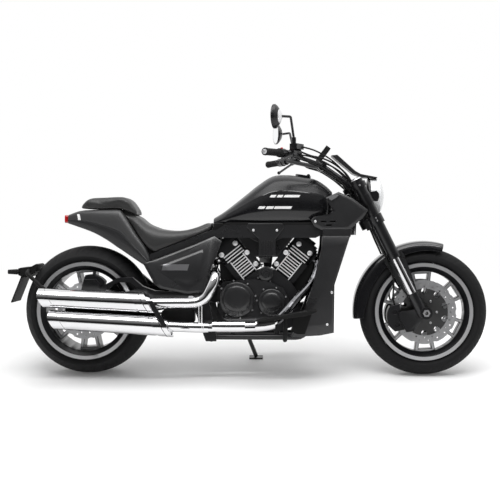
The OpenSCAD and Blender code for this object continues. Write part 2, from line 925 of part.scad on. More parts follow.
mirror_centre = [bar_x - 238, -396, bar_z + 208];
module mirrors() {
    elbow = [bar_x - 160, -368, bar_z + 210];
    foot = [bar_x - 144, -252, bar_z + 94 + seat_gap];
    color("black")
        both_sides() {
            translate(mirror_centre)
                rotate([0, 90, -mirror_turn])
                    rotate_extrude($fn = 64)
                        polygon([[0, 0], [mirror_d / 2, 0], [mirror_d / 2, 8], [mirror_d / 2 - 7, 16], [34, 27], [14, 36], [0, 38]]);
            bent_tube([mirror_centre + 34 * [cos(mirror_turn), -sin(mirror_turn), 0], elbow, foot + [0, 0, 24]], 6, 16);
            translate(foot)
                cylinder(r = 11, h = 30);
        }
}

module brake_hoses() {
    down = [-sin(caliper_angle), 0, cos(caliper_angle)];
    face = [140 * cos(caliper_angle), -84, 140 * sin(caliper_angle)] - 64 * down;
    color("dimgray")
        in_fork()
            both_sides()
                swept_tube([
                    [-46, -88, lower_clamp_low - seat_gap], [-46, -88, 470], [-49, -88, 420], [-53, -88, 320],
                    [-66, -88, 220], face - 40 * down, face - 20 * down, face - seat_gap * down
                ], 4.5, 8, 3);
}

// Frame

spar_top = 728;
spar_low = 690;
spar_front_low = 704;
under_tank = tank_floor - 3;
spar_in = spar_half - spar_w;
rail_z = 196;
rail_r = rail_d / 2;
down_low = [drawn_out(1110), 230];
down_high = [drawn_out(1262), 760];
down_tilt = atan2(down_high.x - down_low.x, down_high.y - down_low.y);
plate_in = arm_inner + arm_t + 2;
plate_out = plate_in + 12;

// Top of the sloping rear part of the spars
function rear_spar_z(x) = spar_top - (636 - x) * 0.392;
tail_front = 330;
// Rubber pads that carry the tank: place and height of the tank's floor there
tank_pads = [[drawn_out(773), tank_floor - 3.2], [drawn_out(1130), tank_floor]];

module frame_spars() {
    color("black")
        difference() {
            union() {
                both_sides() {
                    side_plate(stretched([
                        [tail_front + seat_gap, 576], [640, spar_low], [1150, spar_low], [1178, spar_front_low],
                        [1204, spar_front_low], [1204, under_tank], [700, under_tank], [660, spar_top],
                        [636, spar_top], [tail_front + seat_gap, rear_spar_z(tail_front)]
                    ]), spar_in, spar_half);
                    translate([0, 0, spar_front_low])
                        linear_extrude(tank_floor - 4 - spar_front_low)
                            polygon(stretched([
                                [1180, -spar_half], [1204, -spar_half], [1346, -64], [1356, -20], [1330, -20],
                                [1180, -spar_in]
                            ]));
                    side_plate(stretched([
                        [1140, under_tank - 1], [1186, under_tank - 1], [1180, 768], [1146, 768]
                    ]), spar_in, shoulder_in - seat_gap);
                }
                in_fork()
                    translate([stem_x, 0, head_low])
                        cylinder(d = head_tube_d, h = head_high - head_low);
                side_plate(stretched([
                    [1290, spar_front_low], [1356, spar_front_low], [1360, 776], [1372, 800], [1340, 880],
                    [1318, 880], [1290, 800]
                ]), -30, 30);
                for (pad = tank_pads) {
                    translate([pad.x - 11, -spar_in - 1, spar_top - 22])
                        cube([22, 2 * spar_in + 2, 20]);
                    translate([pad.x, 0, spar_top - 4])
                        cylinder(r = 10, h = pad.y - seat_gap - spar_top + 4);
                }
                translate([350, -spar_in - 1, 594])
                    cube([20, 2 * spar_in + 2, 16]);
            }
            in_fork()
                translate([stem_x, 0, 0])
                    cylinder(r = stem_d / 2 + running, h = fork_top + 100);
        }
}

function down_x(z) = down_low.x + (z - down_low.y) * tan(down_tilt);

module frame_cradle() {
    color("black")
        difference() {
            both_sides() {
                bent_tube([
                    [down_x(spar_low + 20), -rail_half, spar_low + 20], [down_x(rail_z), -rail_half, rail_z],
                    [640, -rail_half, rail_z]
                ], rail_r, 60);
                translate([640, -plate_out, rail_z])
                    rotate([-90, 0, 0])
                        cylinder(r = rail_r, h = plate_out - rail_half + 10);
                side_plate([
                    [480, 352], [560, 330], [612, rail_z - 12], [664, rail_z - 12], [664, rail_z + 14],
                    [636, 330], [620, 440], [560, 452], [490, 436]
                ], plate_in, plate_out);
                rod([598, -plate_in, 400], [660, -spar_half + 11, spar_low + 10], 9);
            }
            translate([500, -spar_half, spar_low - seat_gap])
                cube([900, 2 * spar_half, 100]);
            translate([pivot_x, 0, pivot_z])
                rotate([90, 0, 0])
                    cylinder(r = 12 + running, h = 500, center = true);
        }
}

// Engine

module in_cylinder(sign) {
    translate([crank_x, 0, crank_z])
        rotate([0, sign * vee_half, 0])
            children();
}

case_outline = [
    [660, 300], [672, 262], [720, 236], [980, 226], [1048, 252], [1078, 310], [1074, 400], [1030, 470],
    [978, 516], [906, 540], [834, 516], [760, 478], [690, 470], [664, 430]
];
barrel_low = 128;
barrel_high = 242;
head_high_s = 330;
port_y = 50;
port_s = 286;

module crankcase() {
    color("dimgray") {
        difference() {
            side_plate(case_outline, -case_half, case_half);
            for (sign = [-1, 1])
                in_cylinder(sign)
                    translate([-80, -200, barrel_low - seat_gap])
                        cube([160, 400, 300]);
        }
        for (x = [740, 960], side = [-1, 1])
            translate([x, side * (case_half - 16), rail_z + rail_r + seat_gap])
                cylinder(r = 14, h = 60);
        translate([gearbox_x, 30, gearbox_z])
            rotate([-90, 0, 0]) {
                cylinder(r = 44, h = case_half - 40);
                translate([0, 0, 20])
                    cylinder(r = front_pitch_r - chain_half - seat_gap, h = chain_y - 41);
            }
    }
}

// Round engine cover with a stepped, domed face
module round_cover(x, z, r, y0, y1) {
    translate([x, -y0, z])
        rotate([90, 0, 0])
            rotate_extrude($fn = 72) {
                depth = y1 - y0;
                polygon([
                    [0, 0], [r, 0], [r, depth * 0.5], [r - 4, depth * 0.62], [r - 16, depth * 0.66],
                    [r - 20, depth * 0.86], [r - 26, depth * 0.94], [r * 0.5, depth], [0, depth]
                ]);
            }
}

cover_y = case_half + 26;
module engine_covers() {
    color("gray")
        for (side = [0, 1])
            mirror([0, side, 0]) {
                side_plate(side == 0 ? [
                    [668, 330], [690, 290], [760, 262], [960, 262], [1010, 300], [1024, 372], [992, 440],
                    [930, 470], [850, 486], [740, 476], [690, 440]
                ] : [
                    [740, 290], [790, 262], [960, 262], [1010, 300], [1024, 372], [992, 440],
                    [930, 470], [850, 486], [756, 470]
                ], case_half + seat_gap, cover_y);
                if (side == 0) {
                    round_cover(762, 386, 86, cover_y - 1, cover_y + 34);
                    round_cover(904, 512, 37, case_half + seat_gap, 140);
                }
                round_cover(934, 373, 66, cover_y - 1, cover_y + (side == 0 ? 32 : 28));
            }
}

module cylinders() {
    fin_pitch = (barrel_high - barrel_low - 14) / fin_count;
    wall_y = 92;
    border = 6;
    color("black")
        for (sign = [-1, 1])
            in_cylinder(sign) {
                translate([0, 0, barrel_low])
                    rounded_box([122, 168, barrel_high - barrel_low], 24);
                for (i = [0:fin_count - 1])
                    translate([0, 0, barrel_low + 10 + i * fin_pitch]) {
                        rounded_box([142, 2 * wall_y - 2, 6], 30);
                        translate([-fin_field / 2, -wall_y - 4, 0])
                            cube([fin_field, 2 * wall_y + 8, 6]);
                    }
                // Borders of the finned field and the smooth blocks beside it, on both sides
                for (a = [-1, 1], b = [-1, 1]) {
                    translate([a * (fin_field + border) / 2 - border / 2, b > 0 ? 70 : -wall_y - 6, barrel_low])
                        cube([border, wall_y - 64, barrel_high - barrel_low - 6]);
                    translate([a * 55 - 15, b > 0 ? 60 : -wall_y, barrel_low])
                        cube([30, wall_y - 60, barrel_high - barrel_low]);
                }
            }
}

module cylinder_heads() {
    color("dimgray")
        for (sign = [-1, 1])
            in_cylinder(sign) {
                for (i = [0:2])
                    translate([0, 0, barrel_high + seat_gap + i * 15])
                        rounded_box([146, 196, 6], 26);
                translate([0, 0, barrel_high + seat_gap])
                    rounded_box([132, 182, head_high_s - barrel_high - seat_gap], 22);
                translate([0, 0, head_high_s])
                    rounded_box([112, 166, 12], 24);
                translate([-sign * 8, 0, head_high_s + 12])
                    rounded_box([88, 146, 14], 22);
                translate([sign * 66, -port_y, port_s])
                    rotate([0, sign * 90, 0])
                        cylinder(r = 34, h = 10);
            }
}

module airbox_cover() {
    rib_count = 5;
    rib_pitch = 12.5;
    color("black")
        both_sides() {
            side_plate([
                [868, 668], [932, 668], [986, spar_low], [986, spar_top + 16], [824, spar_top + 16], [824, spar_low]
            ], 108, spar_in - seat_gap);
            side_plate([[868, 590], [932, 590], [932, 690], [868, 690]], 100, 118);
            for (i = [0:rib_count - 1])
                side_plate([
                    [872 + i * rib_pitch, 594], [878 + i * rib_pitch, 594], [878 + i * rib_pitch, 664],
                    [872 + i * rib_pitch, 664]
                ], 116, 124);
        }
    color("black")
        translate([872, -100, 566])
            cube([52, 200, 110]);
}

shroud_in = 148;
module radiator() {
    color("dimgray")
        translate([down_low.x, 0, down_low.y])
            rotate([0, down_tilt, 0])
                translate([rail_r + seat_gap, -shroud_in + seat_gap, 40])
                    difference() {
                        cube([34, 2 * (shroud_in - seat_gap), 400]);
                        for (i = [0:17])
                            translate([26, 20, 24 + i * 20])
                                cube([10, 2 * (shroud_in - 20), 11]);
                    }
}

// Panel with a rounded edge: inner face, edge, shoulder and raised field
module panel(outline, y_in, y_out, inset, crown) {
    back = side_ring(outline, -y_in);
    skin([back, side_ring(outline, -y_out), drawn_in(back, inset, -y_out - crown * 0.8), drawn_in(back, 2.2 * inset, -y_out - crown)]);
}

module radiator_shrouds() {
    color("dimgray")
        both_sides()
            panel(stretched([
                [1030, 204], [1171, 212], [1239, 226], [1242, 460], [1318, 700], [1182, 700], [1180, 651],
                [1156, 543], [1142, 481], [1092, 330]
            ]), shroud_in, shroud_in + 28, 0.1, 12);
}

// Body

// Left half of a tank section: floor, tucked flank, widest line, shoulder and top
function tank_half_ring(x, top, floor_z, w) =
    let (h = top - floor_z)
    [for (p = [[0, 0], [0.62, 0], [0.88, 0.06], [0.97, 0.22], [1, 0.45], [0.93, 0.68], [0.74, 0.86], [0.4, 0.97], [0, 1]])
        [x, p.x * w, floor_z + p.y * h]];

module fuel_tank() {
    // Stations from the seat to the head: place, top, floor, half width as a share
    stations = [
        [642, 790, tank_floor - 14, 0.52], [702, 828, tank_floor - 8, 0.72], [800, 905, tank_floor, 0.89], [866, 958, tank_floor, 0.96],
        [936, 1001, tank_floor, 1], [1010, 1008, tank_floor, 1], [1090, 998, tank_floor, 0.95],
        [1156, 984, tank_floor, 0.84], [1204, 954, 776, 0.7], [1236, 924, 792, 0.52]
    ];
    color("black")
        difference() {
            skin([for (s = stations) full_ring(tank_half_ring(drawn_out(s[0]), s[1], s[2], s[3] * tank_half))]);
            at_filler()
                cylinder(r = cap_r + seat_gap, h = 60);
        }
}

// Seat of the filler cap, sunk into the top of the tank
cap_r = 40;
module at_filler() {
    translate([drawn_out(1090), 0, 992])
        rotate([0, 9, 0])
            children();
}

module filler_cap() {
    color("black")
        at_filler()
            translate([0, 0, seat_gap]) {
                cylinder(r = cap_r, h = 15);
                translate([26, 0, 16])
                    rotate([90, 0, 0])
                        cylinder(r = 9, h = 18, center = true);
            }
}

shoulder_in = 152;
module shoulder_panels() {
    outline = stretched([
        [1180, 728], [1316, 730], [1380, 788], [1407, 826], [1330, 884], [1262, 916], [1200, 888],
        [1206, 872], [1240, 832], [1206, 796], [1142, 794], [1125, 778], [1146, 746]
    ]);
    // Vent slots: lower front corner of each
    slots = [[1171, 766], [1216, 766], [1196, 748]];
    slot_len = 28;
    slot_h = 9;
    color("dimgray")
        both_sides()
            difference() {
                panel(outline, shoulder_in, shoulder_in + 14, 0.08, 6);
                for (s = stretched(slots))
                    side_plate([
                        s, s + [slot_len, 0], s + [slot_len + 6, slot_h], s + [6, slot_h]
                    ], shoulder_in - 5, shoulder_in + 40);
            }
}

module front_indicators() {
    color("white")
        both_sides()
            side_plate(stretched([
                [1206, 890], [1226, 872], [1262, 896], [1244, 906]
            ]), shoulder_in + 20 + seat_gap, shoulder_in + 27);
}

function soft_half(x, low, high, w) =
    let (h = high - low)
    [for (p = [[0, 0], [0.84, 0], [0.97, 0.16], [1, 0.48], [0.94, 0.8], [0.76, 0.96], [0.4, 1], [0, 1]])
        [x, p.x * w, low + p.y * h]];

module rider_seat() {
    // Stations from the pillion pad to the tank: place, top, half width
    stations = [
        [192, 821, 96], [226, 808, 112], [262, 792, 132], [306, 756, 146], [352, 737, 152], [372, 730, 154],
        [436, 722, 152], [500, 725, 142], [566, 743, 124], [616, 768, 104], [632, 778, 92]
    ];
    // The underside follows the tail's slope, then lies on the spars
    function low(x) = x < 340 ? 812 - (x - 192) * 1.4 : rear_spar_z(x) + seat_gap;
    color("black")
        skin([for (s = stations) full_ring(soft_half(s[0], low(s[0]), s[1], s[2]))]);
}

module pillion_pad() {
    stations = [
        [-34, 838, 846, 62], [-12, 836, 872, 78], [14, 835, 886, 88], [90, 835, 890, 98], [168, 835, 893, 106],
        [206, 824, 886, 106], [236, 812, 850, 100], [254, 803, 818, 92]
    ];
    color("black")
        skin([for (s = stations) full_ring(soft_half(s[0], s[1], s[2], s[3]))]);
}

module tail_fairing() {
    stations = [
        [-98, 762, 806, 66], [-40, 743, 826, 84], [20, 722, 831, 98], [62, 703, 833, 106], [112, 675, 834, 114],
        [160, 643, 834, 122], [184, 628, 820, 126], [250, 584, 724, 136], [300, 552, 656, 142], [tail_front, 536, 592, 146]
    ];
    color("black")
        skin([for (s = stations) full_ring(soft_half(s[0], s[1], s[2], s[3]))]);
}

module tail_light() {
    color("red")
        translate([-98 - seat_gap, 0, 765])
            rotate([0, -90, 0])
                linear_extrude(20)
                    offset(r = 8, $fn = 24)
                        translate([20, 0])
                            square([22, 84], center = true);
}

module side_covers() {
    // Outline with its distance from the middle, which widens towards the bottom
    outline = [
        [300, 566], [360, 462], [390, 442], [524, 416], [600, 424], [624, 486], [646, 562], [690, 672], [652, 700],
        [560, 660], [352, 580]
    ];
    function flare(z) = lerp(plate_out + seat_gap, spar_half + seat_gap, (z - 452) / 250);
    function layer(k, out) = [
        for (p = outline)
            let (q = lerp(p, mid(outline), k))
            [q.x, -flare(q.y) - out, q.y]
    ];
    color("black")
        both_sides()
            skin([layer(0, 0), layer(0, 7), layer(0.1, 12), layer(0.42, 12), layer(0.5, 17)]);
}

// Rear end

module swingarm() {
    outline = [
        [-62, rear_r - 30], [-62, rear_r + 26], [20, rear_r + 46], [74, 438], [172, 492], [248, 496], [300, 452],
        [360, 430], [pivot_x - 12, pivot_z + 30], [pivot_x + 28, pivot_z + 14], [pivot_x + 28, pivot_z - 18],
        [pivot_x - 8, pivot_z - 34], [60, rear_r - 44]
    ];
    color("black")
        difference() {
            union() {
                both_sides()
                    side_plate(outline, arm_inner, arm_inner + arm_t);
                translate([402, -arm_inner - 1, 362])
                    cube([120, 2 * arm_inner + 2, 54]);
                translate([pivot_x, 0, pivot_z])
                    rotate([90, 0, 0])
                        cylinder(r = 26, h = 2 * arm_inner, center = true);
            }
            both_sides()
                side_plate([[110, 432], [176, 470], [238, 472], [276, 442], [210, 420]], arm_inner - 5, arm_inner + arm_t + 5);
            at_axle(0, rear_r)
                cylinder(r = axle_r + running, h = 600, center = true);
            translate([pivot_x, 0, pivot_z])
                rotate([90, 0, 0])
                    cylinder(r = 12 + running, h = 600, center = true);
        }
}

module pivot_bolt() {
    half = plate_out + 3;
    color("silver")
        translate([pivot_x, 0, pivot_z])
            rotate([90, 0, 0]) {
                cylinder(r = 12, h = 2 * half, center = true);
                for (side = [-1, 1])
                    translate([0, 0, side * (plate_out + seat_gap + 4)])
                        cylinder(r = 18, h = 8, center = true, $fn = 6);
            }
}

module rear_axle() {
    half = arm_inner + arm_t + 9;
    color("silver")
        at_axle(0, rear_r)
            difference() {
                union() {
                    cylinder(r = axle_r, h = 2 * half, center = true);
                    for (side = [-1, 1])
                        translate([0, 0, side * (half - 4)])
                            cylinder(r = axle_r + 7, h = 8, center = true, $fn = 6);
                    translate([0, 0, rear_disc_y + disc_t + 1])
                        cylinder(r = axle_r + 6, h = 20);
                    translate([0, 0, -chain_y - sprocket_t / 2 - 1])
                        mirror([0, 0, 1])
                            cylinder(r = axle_r + 6, h = arm_inner - chain_y - sprocket_t / 2 - 1.3);
                }
                cylinder(d = axle_bore_d, h = 3 * half, center = true);
            }
}

module rear_caliper() {
    angle = 72;
    bracket_low = rear_disc_y + disc_t + 22;
    color("black")
        at_axle(0, rear_r)
            union() {
                rotate(angle)
                    caliper(rear_disc_d / 2 + 4, 104, 74, rear_disc_y, bracket_low + 6);
                translate([0, 0, bracket_low])
                    linear_extrude(arm_inner - bracket_low - seat_gap)
                        difference() {
                            polygon([[-34, -20], [34, -20], [84, 130], [60, 160], [0, 158], [-34, 20]]);
                            circle(axle_r + 12);
                        }
            }
}

module sprocket_cover() {
    color("dimgray")
        mirror([0, 1, 0]) {
            side_plate([
                [584, 374], [600, 350], [680, 346], [716, 370], [716, 440], [690, 466], [606, 466], [584, 446]
            ], chain_y + 14, chain_y + 26);
            for (p = [[706, 374], [706, 436]])
                translate([p.x, -chain_y - 15, p.y])
                    rotate([-90, 0, 0])
                        cylinder(r = 8, h = chain_y + 15 - case_half - seat_gap);
        }
}

// Exhaust

pipe_r = pipe_d / 2;
muffler_r = muffler_d / 2;
muffler_y = plate_out + muffler_r + muffler_gap;
upper_axis = [[-170, 398], [344, 374]];
lower_axis = [[-118, 293], [432, 262]];

// Points on a muffler's axis, ahead of its front face by each of the given distances
function ahead(axis, steps) =
    let (d = unit(axis[1] - axis[0]))
    [for (t = steps) let (p = axis[1] + d * t) [p.x, -muffler_y, p.y]];
// Points out of an exhaust port along its boss
function port(sign, steps) = [
    for (t = steps)
        let (x = 76 + t)
        [
            crank_x + sign * (x * cos(vee_half) + port_s * sin(vee_half)), -port_y,
            crank_z - x * sin(vee_half) + port_s * cos(vee_half)
        ]
];

module exhaust_pipes() {
    r = pipe_r - 4;
    color("silver") {
        swept_tube(concat(
            port(-1, [seat_gap, 12, 26]),
            [[645, -104, 538], [660, -174, 520], [658, 24 - muffler_y, 492], [640, 6 - muffler_y, 446],
                [614, 3 - muffler_y, 402], [566, 2 - muffler_y, 378]],
            ahead(upper_axis, [90, 30, seat_gap])
        ), r, 16, 3);
        swept_tube(concat(
            port(1, [seat_gap, 10, 20]),
            [[1156, -74, 524], [1122, -112, 458], [1056, -cover_y - 30, 390], [1000, -cover_y - 68, 326],
                [934, 28 - muffler_y, 274], [850, 22 - muffler_y, 258], [640, 10 - muffler_y, 256]],
            ahead(lower_axis, [90, 30, seat_gap])
        ), r, 16, 3);
        rod([590, 3 - muffler_y, 380], [590, 7 - muffler_y, 258], 13);
    }
}

// One muffler: slightly coned can with a slanted outlet and a slanted front band
module muffler(axis) {
    a = [axis[0].x, -muffler_y, axis[0].y];
    b = [axis[1].x, -muffler_y, axis[1].y];
    length = norm(b - a);
    difference() {
        along(a, b)
            difference() {
                union() {
                    translate([0, 0, -30])
                        cylinder(r1 = muffler_r - 2, r2 = muffler_r + 1, h = length - 30);
                    translate([0, 0, length - 60])
                        cylinder(r1 = muffler_r + 1, r2 = pipe_r + 4, h = 60);
                }
                translate([0, 0, -31])
                    cylinder(r = muffler_r - 7, h = 90);
            }
        translate(a + [-26, 0, 0])
            rotate([0, -27, 0])
                translate([-100, -100, -150])
                    cube([100, 200, 300]);
    }
}

module mufflers() {
    color("silver") {
        muffler(upper_axis);
        muffler(lower_axis);
    }
}

module footboards() {
    color("black")
        both_sides() {
            side_plate([
                [862, 297], [868, 291], [1000, 306], [1100, 320], [1150, 338], [1152, 346], [1120, 346], [1000, 324]
            ], 240, 318);
            bent_tube([
                [1000, -rail_half - rail_r - seat_gap, rail_z], [1000, -262, rail_z], [1004, -262, 312]
            ], 11, 30);
            side_plate([[1030, 240], [1060, 226], [1096, 226], [1120, 300], [1132, 332], [1080, 322], [1040, 314]], 244, 254);
        }
}

module plate_bracket() {
    strut_r = 10;
    strut_y = arm_inner + arm_t + seat_gap + strut_r;
    color("black") {
        bent_tube([
            [-20, -strut_y, rear_r + 6], [-90, -strut_y, rear_r + 46],
            [-206, -150, 440], [-290, -132, 512], [-300, -60, 524], [-300, 60, 524]
        ], strut_r, 26);
        side_plate([
            [-366, 524], [-352, 500], [-330, 488], [-300, 490], [-264, 520], [-252, 552], [-262, 557], [-292, 541],
            [-340, 538]
        ], -66, 66);
        for (side = [-1, 1])
            translate([-tail_overhang + 46, side * 92, 518])
                rotate([0, -90, 0])
                    cylinder(r1 = 14, r2 = 11, h = 46);
        translate([-352, 0, 516])
            rotate([90, 0, 0])
                cylinder(r = 8, h = 210, center = true);
        translate([-326, 0, 500])
            rotate([0, 22, 0])
                difference() {
                    translate([-6, -80, -150])
                        cube([6, 160, 152]);
                    for (side = [-1, 1])
                        translate([0, side * 55, -70])
                            rotate([0, 90, 0])
                                cylinder(r = 3.2, h = 60, center = true);
                }
    }
}

// Side stand, in its parked place

stand_pivot = [790, 142, 190];
stand_pin_r = 7;
// Height of the leaned machine's ground at a place of the upright machine
function ground_z(x, y) =
    rear_r + ((x * sin(squat) - rear_r + rear_drop) / cos(squat) + y * sin(lean)) / cos(lean);

module side_stand() {
    foot = [stand_pivot.x + stand_len * sin(stand_rake), 262];
    ground = ground_z(foot.x, foot.y);
    color("black") {
        translate(stand_pivot)
            rotate([90, 0, 0])
                difference() {
                    cylinder(r = 20, h = 14, center = true);
                    cylinder(r = stand_pin_r + running, h = 40, center = true);
                }
        rod(stand_pivot + [14, 4, -14], [foot.x, foot.y - 6, ground + 13], 11);
        translate([foot.x, foot.y, ground])
            rotate([lean, 0, 0])
                translate([-36, -24, 0])
                    cube([72, 52, 8]);
    }
}

module stand_bracket() {
    low = 168;
    depth = stand_pivot.y - 8 - rail_half - rail_r - seat_gap;
    color("black") {
        translate([stand_pivot.x - 40, rail_half + rail_r + seat_gap, low])
            cube([80, depth, 48]);
        translate(stand_pivot + [0, 12, 0])
            rotate([90, 0, 0])
                cylinder(r = stand_pin_r, h = 22);
    }
}

stance() front_tyre();
stance() front_rim();
stance() front_discs();
stance() rear_tyre();
stance() rear_rim();
stance() rear_disc();
stance() rear_sprocket();
stance() fork_clamps();
stance() fork_tubes();
stance() fork_sliders();
stance() fork_feet();
stance() front_axle();
stance() front_calipers();
stance() front_fender();
stance() headlamp_ears();
stance() headlamp_shell();
stance() headlamp_lens();
stance() lamp_cowl();
stance() dash();
stance() handlebar();
stance() grips();
stance() bar_controls();
stance() mirrors();
stance() brake_hoses();
stance() frame_spars();
stance() frame_cradle();
stance() crankcase();
stance() engine_covers();
stance() cylinders();
stance() cylinder_heads();
stance() airbox_cover();
stance() radiator();
stance() radiator_shrouds();
stance() fuel_tank();
stance() filler_cap();
stance() shoulder_panels();
stance() front_indicators();
stance() rider_seat();
stance() pillion_pad();
stance() tail_fairing();
stance() tail_light();
stance() side_covers();
stance() swingarm();
stance() pivot_bolt();
stance() rear_axle();
stance() rear_caliper();
stance() drive_chain();
stance() sprocket_cover();
stance() exhaust_pipes();
stance() mufflers();
stance() footboards();
stance() plate_bracket();
stance() stand_bracket();
stance() side_stand();
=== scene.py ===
# %% [markdown]
# A long, low power cruiser stands on its side stand in a white studio. The solids of the machine come
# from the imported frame, and this lesson gives them their finishes and adds what only the eye needs:
# tread, links, bolts, stitches, lamps and the smooth skins of tank and seat. Everything is placed in the
# machine's own upright frame, in millimetres, and then leaned with the machine.

# %% Load the frame
import bpy
import bmesh
import json
import math
from mathutils import Matrix, Vector
from mathutils.bvhtree import BVHTree


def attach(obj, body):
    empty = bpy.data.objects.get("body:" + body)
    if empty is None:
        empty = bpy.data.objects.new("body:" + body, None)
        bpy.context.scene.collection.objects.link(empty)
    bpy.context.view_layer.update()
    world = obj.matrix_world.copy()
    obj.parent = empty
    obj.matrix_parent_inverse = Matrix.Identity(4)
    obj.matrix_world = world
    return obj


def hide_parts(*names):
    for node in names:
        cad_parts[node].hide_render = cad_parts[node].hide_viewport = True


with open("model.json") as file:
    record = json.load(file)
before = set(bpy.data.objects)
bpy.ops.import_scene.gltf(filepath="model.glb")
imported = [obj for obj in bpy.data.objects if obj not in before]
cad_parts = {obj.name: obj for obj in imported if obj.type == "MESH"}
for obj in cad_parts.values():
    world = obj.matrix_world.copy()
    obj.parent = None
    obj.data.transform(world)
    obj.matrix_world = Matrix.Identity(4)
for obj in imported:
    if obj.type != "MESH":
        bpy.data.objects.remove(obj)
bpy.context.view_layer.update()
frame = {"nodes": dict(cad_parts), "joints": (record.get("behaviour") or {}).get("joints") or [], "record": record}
scene = bpy.context.scene
nodes = frame["nodes"]
joints = {joint["name"]: joint for joint in frame["joints"]}
print("nodes:", len(nodes), "joints:", sorted(joints))

# %% [markdown]
# The wheel joints tell how the machine leans: the rear axle gives a point and the way to the left, and
# the front axle gives the way ahead. From these three comes one matrix that takes a place on the upright
# machine, in millimetres from the ground under the rear axle, to the leaned frame in metres.

# %% The upright machine's frame
MM = 0.001
SIDES = ((-1, "right"), (1, "left"))
WHEELBASE = 1695.0
FRONT_RADIUS = 319.5
REAR_RADIUS = 324.5
FRONT_AXLE = (WHEELBASE, FRONT_RADIUS)
REAR_AXLE = (0.0, REAR_RADIUS)
RAKE = math.radians(26.4)

rear_axle = Vector(joints["rear_wheel_spin"]["pos_m"])
front_axle = Vector(joints["front_wheel_spin"]["pos_m"])
LEFT = Vector(joints["rear_wheel_spin"]["axis"]).normalized()
axle_line = (front_axle - rear_axle).normalized()
axle_up = axle_line.cross(LEFT)
dip = math.atan2(REAR_RADIUS - FRONT_RADIUS, WHEELBASE)
AHEAD = axle_line * math.cos(dip) + axle_up * math.sin(dip)
UP = axle_up * math.cos(dip) - axle_line * math.sin(dip)
LEAN = Matrix((AHEAD, LEFT, UP)).transposed()
MACHINE = Matrix.Translation(rear_axle) @ LEAN.to_4x4() @ Matrix.Scale(MM, 4)
MACHINE = MACHINE @ Matrix.Translation((0, 0, -REAR_RADIUS))
FORK = MACHINE @ Matrix.Translation((WHEELBASE, 0, FRONT_RADIUS)) @ Matrix.Rotation(-RAKE, 4, "Y")
print("lean of the machine:", round(math.degrees(math.asin(-LEFT.z)), 2), "degrees")

# %% [markdown]
# A few small tools make most of the pieces. Each builds a mesh in millimetres, places it, recalculates
# its normals and hangs it on the body that carries it. Faces are smooth, and edges that turn sharply stay
# sharp.

# %% Mesh tools
def lerp(a, b, t):
    return a + (b - a) * t


def finish_piece(name, bm, body, material, place=MACHINE, sharp=35, outward=True):
    bmesh.ops.remove_doubles(bm, verts=bm.verts, dist=0.001)
    if outward:
        bmesh.ops.recalc_face_normals(bm, faces=bm.faces)
    mesh = bpy.data.meshes.new(name)
    bm.to_mesh(mesh)
    bm.free()
    mesh.transform(place)
    mesh.shade_smooth()
    mesh.set_sharp_from_angle(angle=math.radians(sharp))
    piece = bpy.data.objects.new(name, mesh)
    scene.collection.objects.link(piece)
    for one in material if isinstance(material, list) else [material]:
        mesh.materials.append(one)
    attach(piece, body)
    return piece


def skin_rings(bm, rings, closed_ring=True, cap_ends=True, loop=False):
    verts = [[bm.verts.new(p) for p in ring] for ring in rings]
    count = len(rings[0])
    span = count if closed_ring else count - 1
    pairs = list(zip(verts, verts[1:])) + ([(verts[-1], verts[0])] if loop else [])
    for lower, upper in pairs:
        for i in range(span):
            j = (i + 1) % count
            bm.faces.new((lower[i], lower[j], upper[j], upper[i]))
    if cap_ends:
        bm.faces.new(verts[0][::-1])
        bm.faces.new(verts[-1])
    return verts


def sheet(bm, rows, loop=False):
    """Open sheet through rows of points, or a turned shell when the last row meets the first."""
    return skin_rings(bm, rows, closed_ring=False, cap_ends=False, loop=loop)


def curve_point(route, t):
    last = len(route) - 1
    i = min(int(t), last - 1)
    u = t - i
    a, b, c, d = (Vector(route[k]) for k in (max(i - 1, 0), i, i + 1, min(i + 2, last)))
    square, cube = u * u, u * u * u
    return 0.5 * (2 * b + (c - a) * u + (2 * a - 5 * b + 4 * c - d) * square + (3 * b - a - 3 * c + d) * cube)


def curve_points(route, per_leg):
    """Smooth line through the points of a route."""
    return [curve_point(route, k / per_leg) for k in range((len(route) - 1) * per_leg + 1)]


def flat_curve(points, per_leg):
    """The same in a plane, as plain pairs."""
    return [(p.x, p.y) for p in curve_points([(*p, 0) for p in points], per_leg)]


def both_sides(points):
    """Closed section from its left half, which runs from the underside to the top."""
    return points + [(x, -y, z) for x, y, z in points[-2:0:-1]]


def tube_rings(path, radius, sides):
    side = None
    rings = []
    turns = [2 * math.pi * k / sides for k in range(sides)]
    for i, p in enumerate(path):
        d = (path[min(i + 1, len(path) - 1)] - path[max(i - 1, 0)]).normalized()
        if side is None:
            side = d.cross(Vector((0, 0, 1)) if abs(d.z) < 0.9 else Vector((0, 1, 0)))
        side = (side - d * side.dot(d)).normalized()
        up = d.cross(side)
        rings.append([p + radius * (math.cos(a) * side + math.sin(a) * up) for a in turns])
    return rings


def bake_modifiers(piece):
    depsgraph = bpy.context.evaluated_depsgraph_get()
    mesh = bpy.data.meshes.new_from_object(piece.evaluated_get(depsgraph))
    piece.modifiers.clear()
    piece.data = mesh
    return piece


def bevelled(piece, width, segments=2, angle=30):
    bevel = piece.modifiers.new("soft edges", "BEVEL")
    bevel.width = width * MM
    bevel.segments = segments
    bevel.limit_method = "ANGLE"
    bevel.angle_limit = math.radians(angle)
    bevel.harden_normals = True
    return bake_modifiers(piece)


def turned(name, profile, place, material, body, steps=72):
    """Points (radius, along the axis) turned about the local Z axis of a place."""
    bm = bmesh.new()
    rings = []
    for k in range(steps):
        a = 2 * math.pi * k / steps
        rings.append([place @ Vector((r * math.cos(a), r * math.sin(a), h)) for r, h in profile])
    sheet(bm, rings, loop=True)
    return finish_piece(name, bm, body, material, sharp=30)


